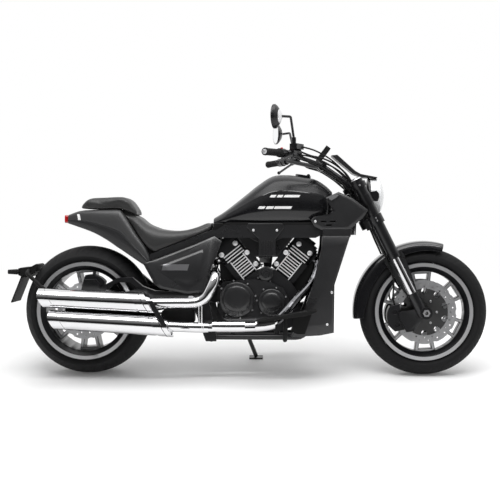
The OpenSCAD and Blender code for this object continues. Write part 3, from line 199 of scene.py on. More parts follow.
def prisms(name, table, material, width=0.0, segments=2):
    """Outlines of the side plane, each drawn out between two sideways distances."""
    bm = bmesh.new()
    for outline, near, far in table:
        skin_rings(bm, [[(x, y, z) for x, z in outline] for y in (near, far)])
    piece = finish_piece(name, bm, "chassis", material)
    return bevelled(piece, width, segments) if width else piece


def mirrored(table):
    return [(outline, side * near, side * far) for side, _ in SIDES for outline, near, far in table]


def block(name, place, size, material, width):
    bm = bmesh.new()
    bmesh.ops.create_cube(bm, size=1.0, matrix=place @ Matrix.Diagonal((*size, 1)))
    return bevelled(finish_piece(name, bm, "steering", material), width)


def face_back(bm, axis):
    """Turns every face towards the low side of an axis."""
    for face in bm.faces:
        face.normal_update()
        if face.normal[axis] > 0:
            face.normal_flip()


def line_frame(a, b):
    """Frame at a whose Z axis points to b."""
    return Matrix.Translation(a) @ (b - a).to_track_quat("Z", "Y").to_matrix().to_4x4()


print("mesh tools ready")

# %% [markdown]
# Shader graphs read better when a line makes one node. This small helper adds nodes to a tree, links
# sockets and sets plain values, so that each finish below is a short recipe.

# %% Shader helper
class Graph:
    def __init__(self, tree):
        self.tree = tree

    def add(self, kind, inputs=None, **settings):
        node = self.tree.nodes.new(kind)
        for key, value in settings.items():
            setattr(node, key, value)
        for key, value in (inputs or {}).items():
            self.feed(node.inputs[key], value)
        return node

    def feed(self, socket, value):
        if isinstance(value, bpy.types.NodeSocket):
            self.tree.links.new(value, socket)
        else:
            socket.default_value = value

    def math(self, operation, a, b=0.0, c=0.0, clamp=False):
        node = self.add("ShaderNodeMath", {0: a, 1: b, 2: c}, operation=operation, use_clamp=clamp)
        return node.outputs[0]

    def times(self, a, b):
        return self.math("MULTIPLY", a, b)

    def minus(self, a, b):
        return self.math("SUBTRACT", a, b)

    def over(self, value, low):
        return self.math("GREATER_THAN", value, low)

    def between(self, value, low, high):
        return self.times(self.over(value, low), self.math("LESS_THAN", value, high))

    def object_place(self):
        return self.add("ShaderNodeTexCoord").outputs["Object"]

    def joined(self, parts):
        join = self.add("GeometryNodeJoinGeometry")
        for part in parts:
            self.tree.links.new(part, join.inputs[0])
        return join.outputs[0]


def shader_group(name, inputs, outputs):
    tree = bpy.data.node_groups.new(name, "ShaderNodeTree")
    for label, kind, default in inputs:
        socket = tree.interface.new_socket(label, in_out="INPUT", socket_type=kind)
        socket.default_value = default
    for label, kind in outputs:
        tree.interface.new_socket(label, in_out="OUTPUT", socket_type=kind)
    graph = Graph(tree)
    return tree, graph, graph.add("NodeGroupInput").outputs, graph.add("NodeGroupOutput").inputs


print("shader helper ready")

# %% [markdown]
# Nearly every finish on a machine varies a little: paint is never one flat value, and polished metal
# carries faint wiping marks. One group gives that variation: a broad noise that shifts colour and gloss,
# and a fine noise for the height of a bump. A second group turns Object coordinates into the upright
# machine's millimetres, so that a finish can follow an axle or a casting's side.

# %% Shared groups
FLOAT, COLOR, VECTOR = "NodeSocketFloat", "NodeSocketColor", "NodeSocketVector"

grain_tree, g, given, made = shader_group(
    "surface variation",
    [("Color", COLOR, (0.5, 0.5, 0.5, 1)), ("Shade", FLOAT, 0.1), ("Roughness", FLOAT, 0.4),
     ("Swing", FLOAT, 0.05), ("Broad Scale", FLOAT, 9.0), ("Fine Scale", FLOAT, 400.0)],
    [("Color", COLOR), ("Roughness", FLOAT), ("Height", FLOAT)])
place = g.object_place()
broad = g.add("ShaderNodeTexNoise", {"Vector": place, "Scale": given["Broad Scale"], "Detail": 5.0})
fine = g.add("ShaderNodeTexNoise", {"Vector": place, "Scale": given["Fine Scale"], "Detail": 3.0})
centred = g.minus(broad.outputs["Fac"], 0.5)
shade = g.math("ADD", 1.0, g.times(centred, g.times(given["Shade"], 2.0)))
tone = g.add("ShaderNodeVectorMath", {0: given["Color"], "Scale": shade}, operation="SCALE")
swing = g.times(centred, g.times(given["Swing"], 2.0))
g.feed(made["Color"], tone.outputs[0])
g.feed(made["Roughness"], g.math("ADD", given["Roughness"], swing, clamp=True))
g.feed(made["Height"], fine.outputs["Fac"])

place_tree, g, given, made = shader_group(
    "machine place", [], [("X", FLOAT), ("Y", FLOAT), ("Z", FLOAT), ("Sideways", FLOAT)])
mapping = g.add("ShaderNodeMapping", {
    "Vector": g.object_place(), "Location": MACHINE.inverted().translation,
    "Rotation": LEAN.inverted().to_euler(), "Scale": (1 / MM, 1 / MM, 1 / MM)})
parts = g.add("ShaderNodeSeparateXYZ", {0: mapping.outputs[0]})
for axis in "XYZ":
    g.feed(made[axis], parts.outputs[axis])
facing = g.add("ShaderNodeVectorMath", {
    0: g.add("ShaderNodeTexCoord").outputs["Normal"], 1: LEFT}, operation="DOT_PRODUCT")
g.feed(made["Sideways"], g.math("ABSOLUTE", facing.outputs["Value"]))
print("shared groups:", grain_tree.name, "and", place_tree.name)

# %% [markdown]
# A finish is a Principled shader with the variation group in front of it. Values that are the same all
# over, such as coat and specular level, sit on the shader's own sockets.

# %% Finish recipe
def shader_of(material):
    return material.node_tree.nodes["Principled BSDF"]


def bump(material, height, strength, distance):
    graph = Graph(material.node_tree)
    relief = graph.add("ShaderNodeBump", {"Strength": strength, "Distance": distance, "Height": height})
    graph.feed(shader_of(material).inputs["Normal"], relief.outputs[0])


def finish(name, color, roughness, metallic=0.0, shade=0.12, swing=0.04, broad=9.0, fine=400.0,
           grit=0.0, **sockets):
    material = bpy.data.materials.new(name)
    material.use_nodes = True
    graph = Graph(material.node_tree)
    shader = shader_of(material)
    shader.inputs["Metallic"].default_value = metallic
    for key, value in sockets.items():
        shader.inputs[key.replace("_", " ").title().replace("Ior", "IOR")].default_value = value
    values = {"Color": (*color, 1), "Shade": shade, "Roughness": roughness, "Swing": swing,
              "Broad Scale": broad, "Fine Scale": fine}
    grain = graph.add("ShaderNodeGroup", node_tree=grain_tree)
    for key, value in values.items():
        grain.inputs[key].default_value = value
    graph.feed(shader.inputs["Base Color"], grain.outputs["Color"])
    graph.feed(shader.inputs["Roughness"], grain.outputs["Roughness"])
    if grit:
        bump(material, grain.outputs["Height"], 0.6, grit * MM)
    material.diffuse_color = (*color, 1)
    return material


gloss_black = finish("gloss black paint", (0.008, 0.008, 0.009), 0.16, shade=0.2, swing=0.03,
                     specular_ior_level=0.3, coat_weight=0.6, coat_roughness=0.03)
charcoal = finish("satin charcoal paint", (0.019, 0.019, 0.020), 0.29, shade=0.18, fine=2200.0, grit=0.02,
                  specular_ior_level=0.5)
spine_grey = finish("satin graphite paint", (0.009, 0.009, 0.010), 0.26, shade=0.18, fine=2600.0,
                    grit=0.03, specular_ior_level=0.35)
satin_black = finish("satin black coat", (0.006, 0.006, 0.007), 0.30, shade=0.2, fine=900.0, grit=0.04,
                     specular_ior_level=0.5)
side_black = finish("semi-gloss black panel", (0.018, 0.018, 0.019), 0.28, shade=0.2, coat_weight=0.6,
                    coat_roughness=0.12, specular_ior_level=0.35)
deep_black = finish("dull black plastic", (0.007, 0.007, 0.007), 0.62, shade=0.2, fine=700.0, grit=0.08,
                    specular_ior_level=0.2)
wrinkle_black = finish("wrinkle black casting", (0.010, 0.010, 0.011), 0.44, shade=0.25, fine=620.0,
                       grit=0.14, specular_ior_level=0.3)
# The upper tail panel is painted lighter than the charcoal below it: a painted sheen.
tail_painted_sheen = finish("tail panel with painted sheen", (0.040, 0.040, 0.041), 0.34, shade=0.15, specular_ior_level=0.5)
white_paint = finish("white paint", (0.80, 0.80, 0.80), 0.3, shade=0.05)
chrome = finish("polished chrome", (0.77, 0.77, 0.78), 0.085, metallic=1.0, shade=0.03, swing=0.03)
black_chrome = finish("black chrome", (0.10, 0.10, 0.105), 0.16, metallic=1.0, shade=0.1)
machined = finish("machined aluminium", (0.80, 0.80, 0.81), 0.30, metallic=0.8, shade=0.08, swing=0.06,
                  fine=1500.0, grit=0.02)
bright_cut = finish("bright cut aluminium", (0.66, 0.66, 0.67), 0.30, metallic=0.8, shade=0.08, swing=0.06,
                    fine=1500.0, grit=0.02)
fin_edge = finish("milled fin edge", (0.84, 0.84, 0.85), 0.34, metallic=0.4, shade=0.06, fine=1500.0)
strip_metal = finish("brushed dark strip", (0.26, 0.26, 0.27), 0.36, metallic=0.9, shade=0.1)
steel = finish("bare steel", (0.54, 0.54, 0.55), 0.33, metallic=0.9, shade=0.12, swing=0.08)
dark_steel = finish("oiled dark steel", (0.10, 0.10, 0.10), 0.40, metallic=1.0, shade=0.2, swing=0.1)
tyre_rubber = finish("tyre rubber", (0.009, 0.009, 0.0095), 0.72, shade=0.25, swing=0.08, fine=1100.0,
                     grit=0.12, specular_ior_level=0.2)
grip_rubber = finish("grip rubber", (0.010, 0.010, 0.010), 0.70, shade=0.2, fine=900.0, grit=0.1,
                     specular_ior_level=0.25)
core_black = finish("radiator core", (0.012, 0.012, 0.013), 0.5, metallic=0.4, shade=0.2)
lens_glass = finish("frosted lamp lens", (0.80, 0.81, 0.82), 0.10, shade=0.05, swing=0.02,
                    transmission_weight=0.15, ior=1.45, coat_weight=0.6, coat_roughness=0.03)
indicator_lens = finish("silvered lamp lens", (0.46, 0.46, 0.47), 0.14, metallic=0.7, shade=0.1,
                        coat_weight=1.0, coat_roughness=0.03)
lamp_red = finish("red lamp lens", (0.42, 0.008, 0.010), 0.16, shade=0.1, coat_weight=1.0,
                  coat_roughness=0.05)
mirror_glass = finish("mirror glass", (0.92, 0.93, 0.94), 0.03, metallic=1.0, shade=0.02, swing=0.01)
screen_glass = finish("instrument glass", (0.012, 0.013, 0.015), 0.08, shade=0.1, coat_weight=1.0,
                      coat_roughness=0.02)
switch_red = finish("red switch", (0.50, 0.015, 0.02), 0.35, shade=0.1)
thread = finish("dark grey thread", (0.05, 0.05, 0.05), 0.7, shade=0.2)
print("finishes:", len(bpy.data.materials))

# %% [markdown]
# Some finishes change across one solid. The wheels are black castings whose rim ring and spoke faces are
# turned bright. A mask looks for faces that point sideways, finds the nearest spoke's middle line by
# wrapping the angle about the axle, and leaves a black edge along each spoke and round its window.
# The brake discs are rubbed in rings about the axle, the fins of the engine are bright only where their
# outer edge was machined, and the pipes' chrome turns dark at the front.

# %% Finishes that follow the shape
HUB_RADIUS, BARREL_RADIUS = 44.0, 203.0
RING_IN, RING_OUT = 226.0, 244.0
SPOKE_COUNT, SPOKE_TURN = 6, math.radians(33)
SPOKE_HALF_IN, SPOKE_HALF_OUT, SPOKE_ARM = 24.0, 53.0, 17.0
FRONT_SPOKE_FACE, REAR_SPOKE_FACE = 22.0, 42.0
WINDOW_IN, WINDOW_OUT, BLACK_EDGE = 78.0, 189.0, 2.6
FRONT_BAND, REAR_BAND = 117.0, 100.0
BARREL_FIN_EDGE, HEAD_FIN_EDGE = 94.5, 97.5
DARK_PIPE_FROM = 962.0
RING_FACING, SPOKE_FACING, FIN_FACING = 0.5, 0.93, 0.9


def masked(name, base, bright, mask_of):
    """Copy of the finish base that turns to the finish bright where the mask is 1."""
    material = base.copy()
    material.name = name
    graph = Graph(material.node_tree)
    shader = shader_of(material)
    place = graph.add("ShaderNodeGroup", node_tree=place_tree).outputs
    mask = mask_of(graph, place)
    first = material.node_tree.nodes["Group"]
    second = graph.add("ShaderNodeGroup", node_tree=grain_tree)
    for socket in bright.node_tree.nodes["Group"].inputs:
        second.inputs[socket.name].default_value = socket.default_value
    color = graph.add("ShaderNodeMix", {0: mask, 6: first.outputs[0], 7: second.outputs[0]}, data_type="RGBA")
    graph.feed(shader.inputs["Base Color"], color.outputs[2])
    roughness = graph.add("ShaderNodeMix", {0: mask, 2: first.outputs[1], 3: second.outputs[1]})
    graph.feed(shader.inputs["Roughness"], roughness.outputs[0])
    low, high = (s.inputs["Metallic"].default_value for s in (shader, shader_of(bright)))
    graph.feed(shader.inputs["Metallic"], graph.math("MULTIPLY_ADD", mask, high - low, low))
    return material


def axle_distance(graph, place, x, z):
    dx = graph.math("POWER", graph.minus(place["X"], x), 2.0)
    dz = graph.math("POWER", graph.minus(place["Z"], z), 2.0)
    return graph.math("SQRT", graph.math("ADD", dx, dz))


def along_spoke(graph, place, radius, x, z):
    """Distances along and across the middle line of the nearest spoke."""
    angle = graph.math("ARCTAN2", graph.minus(place["Z"], z), graph.minus(place["X"], x))
    half_turn = math.pi / SPOKE_COUNT
    local = graph.math("WRAP", graph.minus(angle, SPOKE_TURN), half_turn, -half_turn)
    along = graph.times(radius, graph.math("COSINE", local))
    return along, graph.math("ABSOLUTE", graph.times(radius, graph.math("SINE", local)))


def rim_mask(axle, spoke_face):
    def mask(graph, place):
        radius = axle_distance(graph, place, *axle)
        along, aside = along_spoke(graph, place, radius, *axle)
        ring = graph.times(graph.between(radius, RING_IN, RING_OUT),
                           graph.over(place["Sideways"], RING_FACING))
        slope = (SPOKE_HALF_OUT - SPOKE_HALF_IN) / (BARREL_RADIUS - HUB_RADIUS)
        half = graph.math("MULTIPLY_ADD", graph.minus(along, HUB_RADIUS), slope, SPOKE_HALF_IN)
        to_edge = graph.minus(half, aside)
        arm = graph.between(to_edge, BLACK_EDGE, SPOKE_ARM - BLACK_EDGE)
        beyond = graph.times(graph.over(to_edge, BLACK_EDGE), graph.over(along, WINDOW_OUT + BLACK_EDGE))
        face = graph.times(graph.math("MAXIMUM", arm, beyond),
                           graph.between(along, WINDOW_IN, BARREL_RADIUS - 1.0))
        depth = graph.math("ABSOLUTE", place["Y"])
        face = graph.times(face, graph.between(depth, spoke_face - 1.0, spoke_face + 1.0))
        return graph.math("MAXIMUM", ring, graph.times(graph.over(place["Sideways"], SPOKE_FACING), face))
    return mask


def disc_finish(name, axle, band_in):
    material = masked(name, dark_steel, steel, lambda graph, place: graph.over(
        axle_distance(graph, place, *axle), band_in))
    graph = Graph(material.node_tree)
    place = graph.add("ShaderNodeGroup", node_tree=place_tree).outputs
    rings = graph.math("SINE", graph.times(axle_distance(graph, place, *axle), 7.0))
    bump(material, rings, 0.25, 0.0001)
    return material


def fin_mask(edge):
    return lambda graph, place: graph.times(
        graph.over(graph.math("ABSOLUTE", place["Y"]), edge), graph.over(place["Sideways"], FIN_FACING))


front_rim_paint = masked("front rim, turned faces", satin_black, bright_cut,
                         rim_mask(FRONT_AXLE, FRONT_SPOKE_FACE))
rear_rim_paint = masked("rear rim, turned faces", satin_black, bright_cut,
                        rim_mask(REAR_AXLE, REAR_SPOKE_FACE))
front_disc_steel = disc_finish("front disc, rubbed rings", FRONT_AXLE, FRONT_BAND)
rear_disc_steel = disc_finish("rear disc, rubbed rings", REAR_AXLE, REAR_BAND)
barrel_paint = masked("barrel, bright fin edges", wrinkle_black, fin_edge, fin_mask(BARREL_FIN_EDGE))
head_paint = masked("head, bright fin edges", wrinkle_black, fin_edge, fin_mask(HEAD_FIN_EDGE))
chrome_dark = masked("chrome, dark ahead", chrome, black_chrome,
                     lambda graph, place: graph.over(place["X"], DARK_PIPE_FROM))
print("finishes, with those that follow the shape:", len(bpy.data.materials))

# %% [markdown]
# The tyres carry a road tread: slanted grooves that run from the shoulders towards the crown. A fine grid
# is turned about the axle, and each point of the crown sinks where a groove passes. The bead and the
# walls follow the solid tyre's own profile.

# %% Tyres with tread
TREAD_DEPTH, GROOVE_HALF, GROOVE_EASE, GROOVE_SWAY = 3.2, 3.4, 1.6, 0.9
GROOVE_FROM, GROOVE_TO = 0.12, 0.97
CROWN_STEPS, BLOCK_STEPS = 13, 14
WALL_LOW = 265.0


def tyre_profile(radius, width, crown, rim_width):
    """Points (radius, sideways, groove share) from bead to bead over the crown."""
    side, flank, bead = width / 2, width / 2 - 1.5, rim_width / 2 - 10.3
    half = []
    for k in range(CROWN_STEPS + 1):
        y = flank * math.sin(k / CROWN_STEPS * math.pi / 2) ** 0.9
        rise = math.sqrt(max(crown ** 2 - y * y, 0))
        half.append((radius - crown + rise, y, min(1.0, (CROWN_STEPS - k) / 4)))
    edge = math.sqrt(crown ** 2 - min(flank, crown - 1) ** 2) + radius - crown
    half += [(lerp(edge, WALL_LOW, k / 5), side - 0.2 * k, 0.0) for k in range(1, 6)]
    half += [(258.0, lerp(side, bead, 0.4), 0.0), (250.5, bead + 3.0, 0.0), (247.5, bead + 0.8, 0.0)]
    return [(r, -y, share) for r, y, share in reversed(half[1:])] + half


def groove_depth(y, around, width, pitch):
    """Share of the tread depth at a place, from a slanted groove a pitch on each side, set off by half."""
    side = abs(y) / (width / 2)
    if not GROOVE_FROM < side < GROOVE_TO:
        return 0.0
    sway = GROOVE_SWAY * pitch * side + (0 if y < 0 else pitch / 2)
    offset = (around - sway) % pitch
    near = min(offset, pitch - offset)
    ease = min(1.0, (side - GROOVE_FROM) / 0.1)
    return ease * max(0.0, min(1.0, (GROOVE_HALF - near) / GROOVE_EASE + 0.5))


def treaded_tyre(name, axle, size, body, blocks):
    radius, width, crown, rim_width = size
    profile = tyre_profile(radius, width, crown, rim_width)
    steps = blocks * BLOCK_STEPS
    pitch = 2 * math.pi * radius / blocks
    rings = []
    for k in range(steps):
        a = 2 * math.pi * k / steps
        ring = []
        for r, y, share in profile:
            sunk = r - TREAD_DEPTH * share * groove_depth(y, a * radius, width, pitch)
            ring.append((axle[0] + sunk * math.cos(a), y, axle[1] + sunk * math.sin(a)))
        rings.append(ring)
    bm = bmesh.new()
    sheet(bm, rings, loop=True)
    piece = finish_piece(f"{name}_tread", bm, body, tyre_rubber, sharp=50)
    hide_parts(name)
    print(piece.name, "faces:", len(piece.data.polygons))


treaded_tyre("front_tyre", FRONT_AXLE, (FRONT_RADIUS, 130.0, 72.0, 112.0), "front_wheel", 36)
treaded_tyre("rear_tyre", REAR_AXLE, (REAR_RADIUS, 240.0, 165.0, 236.0), "rear_wheel", 32)

# %% [markdown]
# The fuel tank is one smooth skin through ten sections. A crease runs along its shoulder: below it the
# paint is gloss black, and above it lies a slightly raised spine in satin graphite. The two painted faces
# share the mesh and take their material by row. The tail is skinned in the same way: charcoal below, and
# above it a lighter panel whose colour is a painted sheen. Broad painted skins show every facet, so both
# have finer sections than the solids.

# %% Fuel tank and tail
TANK_HALF, TANK_FLOOR = 168.0, 758.0
TANK_STATIONS = [  # place, top, underside, share of the half width
    (642, 790, TANK_FLOOR - 14, 0.52), (702, 828, TANK_FLOOR - 8, 0.72), (800, 905, TANK_FLOOR, 0.89),
    (866, 958, TANK_FLOOR, 0.96), (936, 1001, TANK_FLOOR, 1.0), (1010, 1008, TANK_FLOOR, 1.0),
    (1090, 998, TANK_FLOOR, 0.95), (1156, 984, TANK_FLOOR, 0.84), (1204, 954, 776, 0.7),
    (1236, 924, 792, 0.52)]
FLANK = flat_curve([(0, 0), (0.62, 0), (0.88, 0.06), (0.97, 0.22), (1, 0.45), (0.945, 0.66)], 4)
SPINE = flat_curve([(0.925, 0.68), (0.74, 0.86), (0.4, 0.97), (0, 1)], 6)
TAIL_STATIONS = [  # place, underside, top, half width
    (-98, 762, 806, 66), (-40, 743, 826, 84), (20, 722, 831, 98), (62, 703, 833, 106),
    (112, 675, 834, 114), (160, 643, 834, 122), (184, 628, 820, 126), (250, 584, 724, 136),
    (300, 552, 656, 142), (330, 536, 592, 146)]
TAIL_HALF = flat_curve([(0, 0), (0.84, 0), (0.96, 0.1), (1, 0.36), (0.985, 0.44), (0.99, 0.5),
                        (0.955, 0.8), (0.8, 0.97), (0.4, 1), (0, 1)], 3)
TAIL_LOW_ROWS = 13


def sections(stations, half, per_leg):
    """Closed rings through stations (place, underside, top, half width) of one half outline."""
    return [both_sides([(x, y * wide, low + z * (top - low)) for y, z in half])
            for x, low, top, wide in curve_points(stations, per_leg)]


def painted_skin(name, rings, finishes, second, sharp):
    """Skin that takes its second finish in the rows that second picks, counted from the underside."""
    bm = bmesh.new()
    skin_rings(bm, rings)
    count = len(rings[0])
    for i, face in enumerate(list(bm.faces)[:-2]):
        row = i % count
        face.material_index = int(second(min(row, count - 1 - row)))
    return finish_piece(name, bm, "chassis", finishes, sharp=sharp)


tank_rings = [both_sides([(x, y * share * TANK_HALF, low + z * (top - low)) for y, z in FLANK + SPINE])
              for x, top, low, share in curve_points(TANK_STATIONS, 5)]
tank = painted_skin("tank_skin", tank_rings, [gloss_black, spine_grey], lambda row: row >= len(FLANK) - 1, 24)
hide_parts("fuel_tank")
# Above its lowest rows the tail takes the lighter paint, which is a painted sheen.
tail = painted_skin("tail_skin", sections(TAIL_STATIONS, TAIL_HALF, 5), [tail_painted_sheen, charcoal],
                    lambda row: row < TAIL_LOW_ROWS, 28)
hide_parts("tail_fairing")
print("tank and tail faces:", len(tank.data.polygons), len(tail.data.polygons))

# %% [markdown]
# The tank rests on the frame, and a dull black strip along each side closes the narrow gap between
# them, which would otherwise show as a bright line. The strip's black is painted shade for that crevice.

# %% Dark strips under the tank, painted shade
STRIP_OUTLINE = [(690, TANK_FLOOR - 4), (1186, TANK_FLOOR - 4), (1178, TANK_FLOOR + 9),
                 (712, TANK_FLOOR + 9)]
# A dull black strip fills the crevice between tank and frame: painted shade.
tank_gap_shade = prisms("tank_gap_shade", mirrored([(STRIP_OUTLINE, 122.0, 150.6)]), deep_black)
print("strip faces:", len(tank_gap_shade.data.polygons))

# %% [markdown]
# Two rows of short slanted bars in white are painted on the tank. Each corner is found by looking along
# the photograph's line of sight at the tank's skin, and a thin film follows the surface between them.

# %% Stripes on the tank
EYE = Vector((999.7, -4700.0, 729.0))
EYE_FOCAL = 923.0
EYE_MIDDLE = (285.0, 230.0)
FILM_LIFT = 0.5
BARS = [  # upper and lower row of the picture, then first and last column of each bar
    (195.0, 197.4, [(270.4, 275.8), (277.4, 282.8), (284.2, 299.6)]),
    (206.3, 208.9, [(258.6, 264.9), (266.3, 273.6), (274.5, 291.5)])]
BAR_SLANT = 1.6


def sight(column, row):
    """Direction from the camera to a place in the picture, in the machine's frame."""
    aside, up = (column - EYE_MIDDLE[0]) / EYE_FOCAL, (EYE_MIDDLE[1] - row) / EYE_FOCAL
    return Vector((aside, 1.0, up)).normalized()


def skin_tree(piece):
    bm = bmesh.new()
    bm.from_mesh(piece.data)
    bm.transform(MACHINE.inverted())
    tree = BVHTree.FromBMesh(bm)
    bm.free()
    return tree


def film(bm, tree, outline_of, columns, rows):
    """Thin sheet on a skin. outline_of gives a place in the picture for shares along and across."""
    grid = []
    for j in range(rows + 1):
        grid.append([])
        for i in range(columns + 1):
            ray = sight(*outline_of(i / columns, j / rows))
            hit, normal, _, _ = tree.ray_cast(EYE, ray)
            grid[-1].append(hit + (normal if normal.dot(ray) < 0 else -normal) * FILM_LIFT)
    sheet(bm, grid)


stripe_mesh = bmesh.new()
tank_tree = skin_tree(tank)
for top, low, spans in BARS:
    for first, last in spans:
        film(stripe_mesh, tank_tree, lambda along, down: (
            lerp(first, last, along) + BAR_SLANT * (0.5 - down), lerp(top, low, down)), 8, 3)
face_back(stripe_mesh, 1)
stripes = finish_piece("tank_stripes", stripe_mesh, "chassis", white_paint, outward=False)
print("stripe faces:", len(stripes.data.polygons))

# %% [markdown]
# The seats are foam under a sewn cover. Each starts as a slightly small, smooth form, is remeshed evenly
# and blown up by a short cloth simulation, so that its faces crown and its edges pull in. How far a point
# may move is capped, and the underside stays where it rests on the frame and the tail.

# %% Seat cushions
SOFT_HALF = flat_curve(
    [(0, 0), (0.84, 0), (0.97, 0.16), (1, 0.48), (0.94, 0.8), (0.76, 0.96), (0.4, 1), (0, 1)], 3)
RIDER_STATIONS = [  # place, underside, top, half width
    (192, 812, 821, 96), (226, 764, 808, 112), (262, 712, 792, 132), (306, 652, 756, 146),
    (352, 617, 737, 152), (372, 625, 730, 154), (436, 650, 722, 152), (500, 675, 725, 142),
    (566, 701, 743, 124), (616, 721, 768, 104), (632, 727, 778, 92)]
PILLION_STATIONS = [
    (-34, 838, 846, 62), (-12, 836, 872, 78), (14, 835, 886, 88), (90, 835, 890, 98),
    (168, 835, 893, 106), (206, 824, 886, 106), (236, 812, 850, 100), (254, 803, 818, 92)]
SHRINK, FOOT, REACH = 4.0, 0.5, 7.0
CLOTH_FRAMES = 20


def soft_form(stations):
    """Smooth closed form through the stations, drawn in so that it has room to swell."""
    bm = bmesh.new()
    skin_rings(bm, [
        both_sides([(x, y * (wide - SHRINK), low + FOOT + z * (top - SHRINK - low)) for y, z in SOFT_HALF])
        for x, low, top, wide in curve_points(stations, 4)])
    return bm


def swollen_places(piece):
    cloth = piece.modifiers.new("foam", "CLOTH")
    cloth.settings.use_pressure = True
    cloth.settings.uniform_pressure_force = 4.0
    cloth.settings.effector_weights.gravity = 0.0
    cloth.settings.quality = 4
    cloth.point_cache.frame_start, cloth.point_cache.frame_end = 1, CLOTH_FRAMES
    for number in range(1, CLOTH_FRAMES + 1):
        scene.frame_set(number)
    depsgraph = bpy.context.evaluated_depsgraph_get()
    places = [v.co.copy() for v in piece.evaluated_get(depsgraph).data.vertices]
    piece.modifiers.clear()
    return places


def blown(name, stations, voxel, material):
    piece = finish_piece(name, soft_form(stations), "chassis", material)
    remesh = piece.modifiers.new("even faces", "REMESH")
    remesh.mode = "VOXEL"
    remesh.voxel_size = voxel * MM
    bake_modifiers(piece)
    normals = [v.normal.copy() for v in piece.data.vertices]
    for vertex, end, normal in zip(piece.data.vertices, swollen_places(piece), normals):
        move = end - vertex.co
        under = max(0.0, -normal.dot(UP))
        move *= min(1.0, REACH * MM / max(move.length, 1e-9)) * (1.0 - min(1.0, under * 1.6))
        vertex.co = vertex.co + move
    smooth = piece.modifiers.new("even cover", "SMOOTH")
    smooth.factor, smooth.iterations = 0.5, 6
    subdivide = piece.modifiers.new("fine cover", "SUBSURF")
    subdivide.levels = subdivide.render_levels = 1
    bake_modifiers(piece)
    piece.data.shade_smooth()
    scene.frame_set(1)
    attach(piece, "chassis")
    return piece


def leather(name):
    material = finish(name, (0.022, 0.022, 0.022), 0.40, shade=0.25, swing=0.08, fine=900.0)
    graph = Graph(material.node_tree)
    cells = graph.add("ShaderNodeTexVoronoi", {"Vector": graph.object_place(), "Scale": 620.0},
                      feature="DISTANCE_TO_EDGE")
    bump(material, graph.math("MINIMUM", graph.times(cells.outputs[0], 6.0), 1.0), 0.35, 0.0003)
    return material


seat_cover = leather("grained seat cover")
rider = blown("rider_cushion", RIDER_STATIONS, 6.0, seat_cover)
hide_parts("rider_seat")
pillion = blown("pillion_cushion", PILLION_STATIONS, 5.0, seat_cover)
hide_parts("pillion_pad")
for cushion in (rider, pillion):
    print(cushion.name, "faces:", len(cushion.data.polygons))

# %% [markdown]
# Real castings and mouldings have no knife edges, and the light that runs along a rounded edge is what
# makes them look solid. Each of these solids is copied, its loose triangles are merged into clean faces,
# and its edges get a small round of their own width.

# %% Solids with rounded edges
BODY_OF = {name: body for body, names in frame["record"]["behaviour"]["bodies"].items() for name in names}
SOLID_WINDOW_OUT = BARREL_RADIUS - 29.0
WINDOW_HALF, WINDOW_SPREAD = 34.0, 1.09
ROUNDED = [
    ("crankcase", 5.0, wrinkle_black), ("engine_covers", 2.5, side_black), ("cylinders", 0.9, barrel_paint),
    ("cylinder_heads", 1.2, head_paint), ("airbox_cover", 2.0, side_black),
    ("radiator_shrouds", 6.0, charcoal), ("shoulder_panels", 4.0, charcoal),
    ("side_covers", 5.0, side_black), ("swingarm", 5.0, satin_black), ("fork_clamps", 3.0, satin_black),
    ("fork_feet", 4.0, satin_black), ("front_calipers", 4.0, satin_black),
    ("rear_caliper", 4.0, satin_black), ("headlamp_ears", 1.5, satin_black),
    ("bar_controls", 2.5, satin_black), ("plate_bracket", 2.5, deep_black), ("frame_spars", 4.0, side_black),
    ("front_rim", 2.2, front_rim_paint), ("rear_rim", 2.2, rear_rim_paint),
    ("sprocket_cover", 3.0, satin_black), ("dash", 3.0, deep_black), ("filler_cap", 2.0, gloss_black),
    ("lamp_cowl", 2.0, charcoal), ("side_stand", 2.0, satin_black), ("footboards", 2.5, deep_black)]


def merged_copy(name):
    bm = bmesh.new()
    bm.from_mesh(nodes[name].data)
    bm.transform(MACHINE.inverted())
    bmesh.ops.remove_doubles(bm, verts=bm.verts, dist=0.02)
    bmesh.ops.dissolve_limit(bm, angle_limit=math.radians(0.8), verts=bm.verts, edges=bm.edges)
    return bm


def open_windows(bm, axle):
    """Moves the outer end of each spoke's window out to the thin bar that the cast wheel has."""
    step = 2 * math.pi / SPOKE_COUNT
    for vertex in bm.verts:
        dx, dz = vertex.co.x - axle[0], vertex.co.z - axle[1]
        middle = SPOKE_TURN + step * round((math.atan2(dz, dx) - SPOKE_TURN) / step)
        c, s = math.cos(middle), math.sin(middle)
        along, aside = dx * c + dz * s, dz * c - dx * s
        if abs(along - SOLID_WINDOW_OUT) < 0.5 and abs(aside) < WINDOW_HALF:
            along, aside = WINDOW_OUT, aside * WINDOW_SPREAD
            vertex.co.x = axle[0] + along * c - aside * s
            vertex.co.z = axle[1] + along * s + aside * c


def rounded_copy(name, width, material):
    bm = merged_copy(name)
    if name.endswith("_rim"):
        open_windows(bm, FRONT_AXLE if name == "front_rim" else REAR_AXLE)
    piece = finish_piece(f"{name}_round", bm, BODY_OF[name], material, outward=False, sharp=30)
    bevelled(piece, width)
    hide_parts(name)
    return piece


rounded = {name: rounded_copy(name, width, material) for name, width, material in ROUNDED}
print("rounded faces:", sum(len(piece.data.polygons) for piece in rounded.values()))

# %% [markdown]
# The front fender is lofted again with finer sections round the wheel, as a thin shell with soft edges.
# Its two ends are closed by strips of narrow faces, which stay flat where one large face would not.

# %% Fender
FENDER_RADIUS, FENDER_HALF, FENDER_WALL = 352.8, 72.8, 5.6
FENDER_FIRST, FENDER_LAST, FENDER_STEPS = 74.0, 186.0, 56


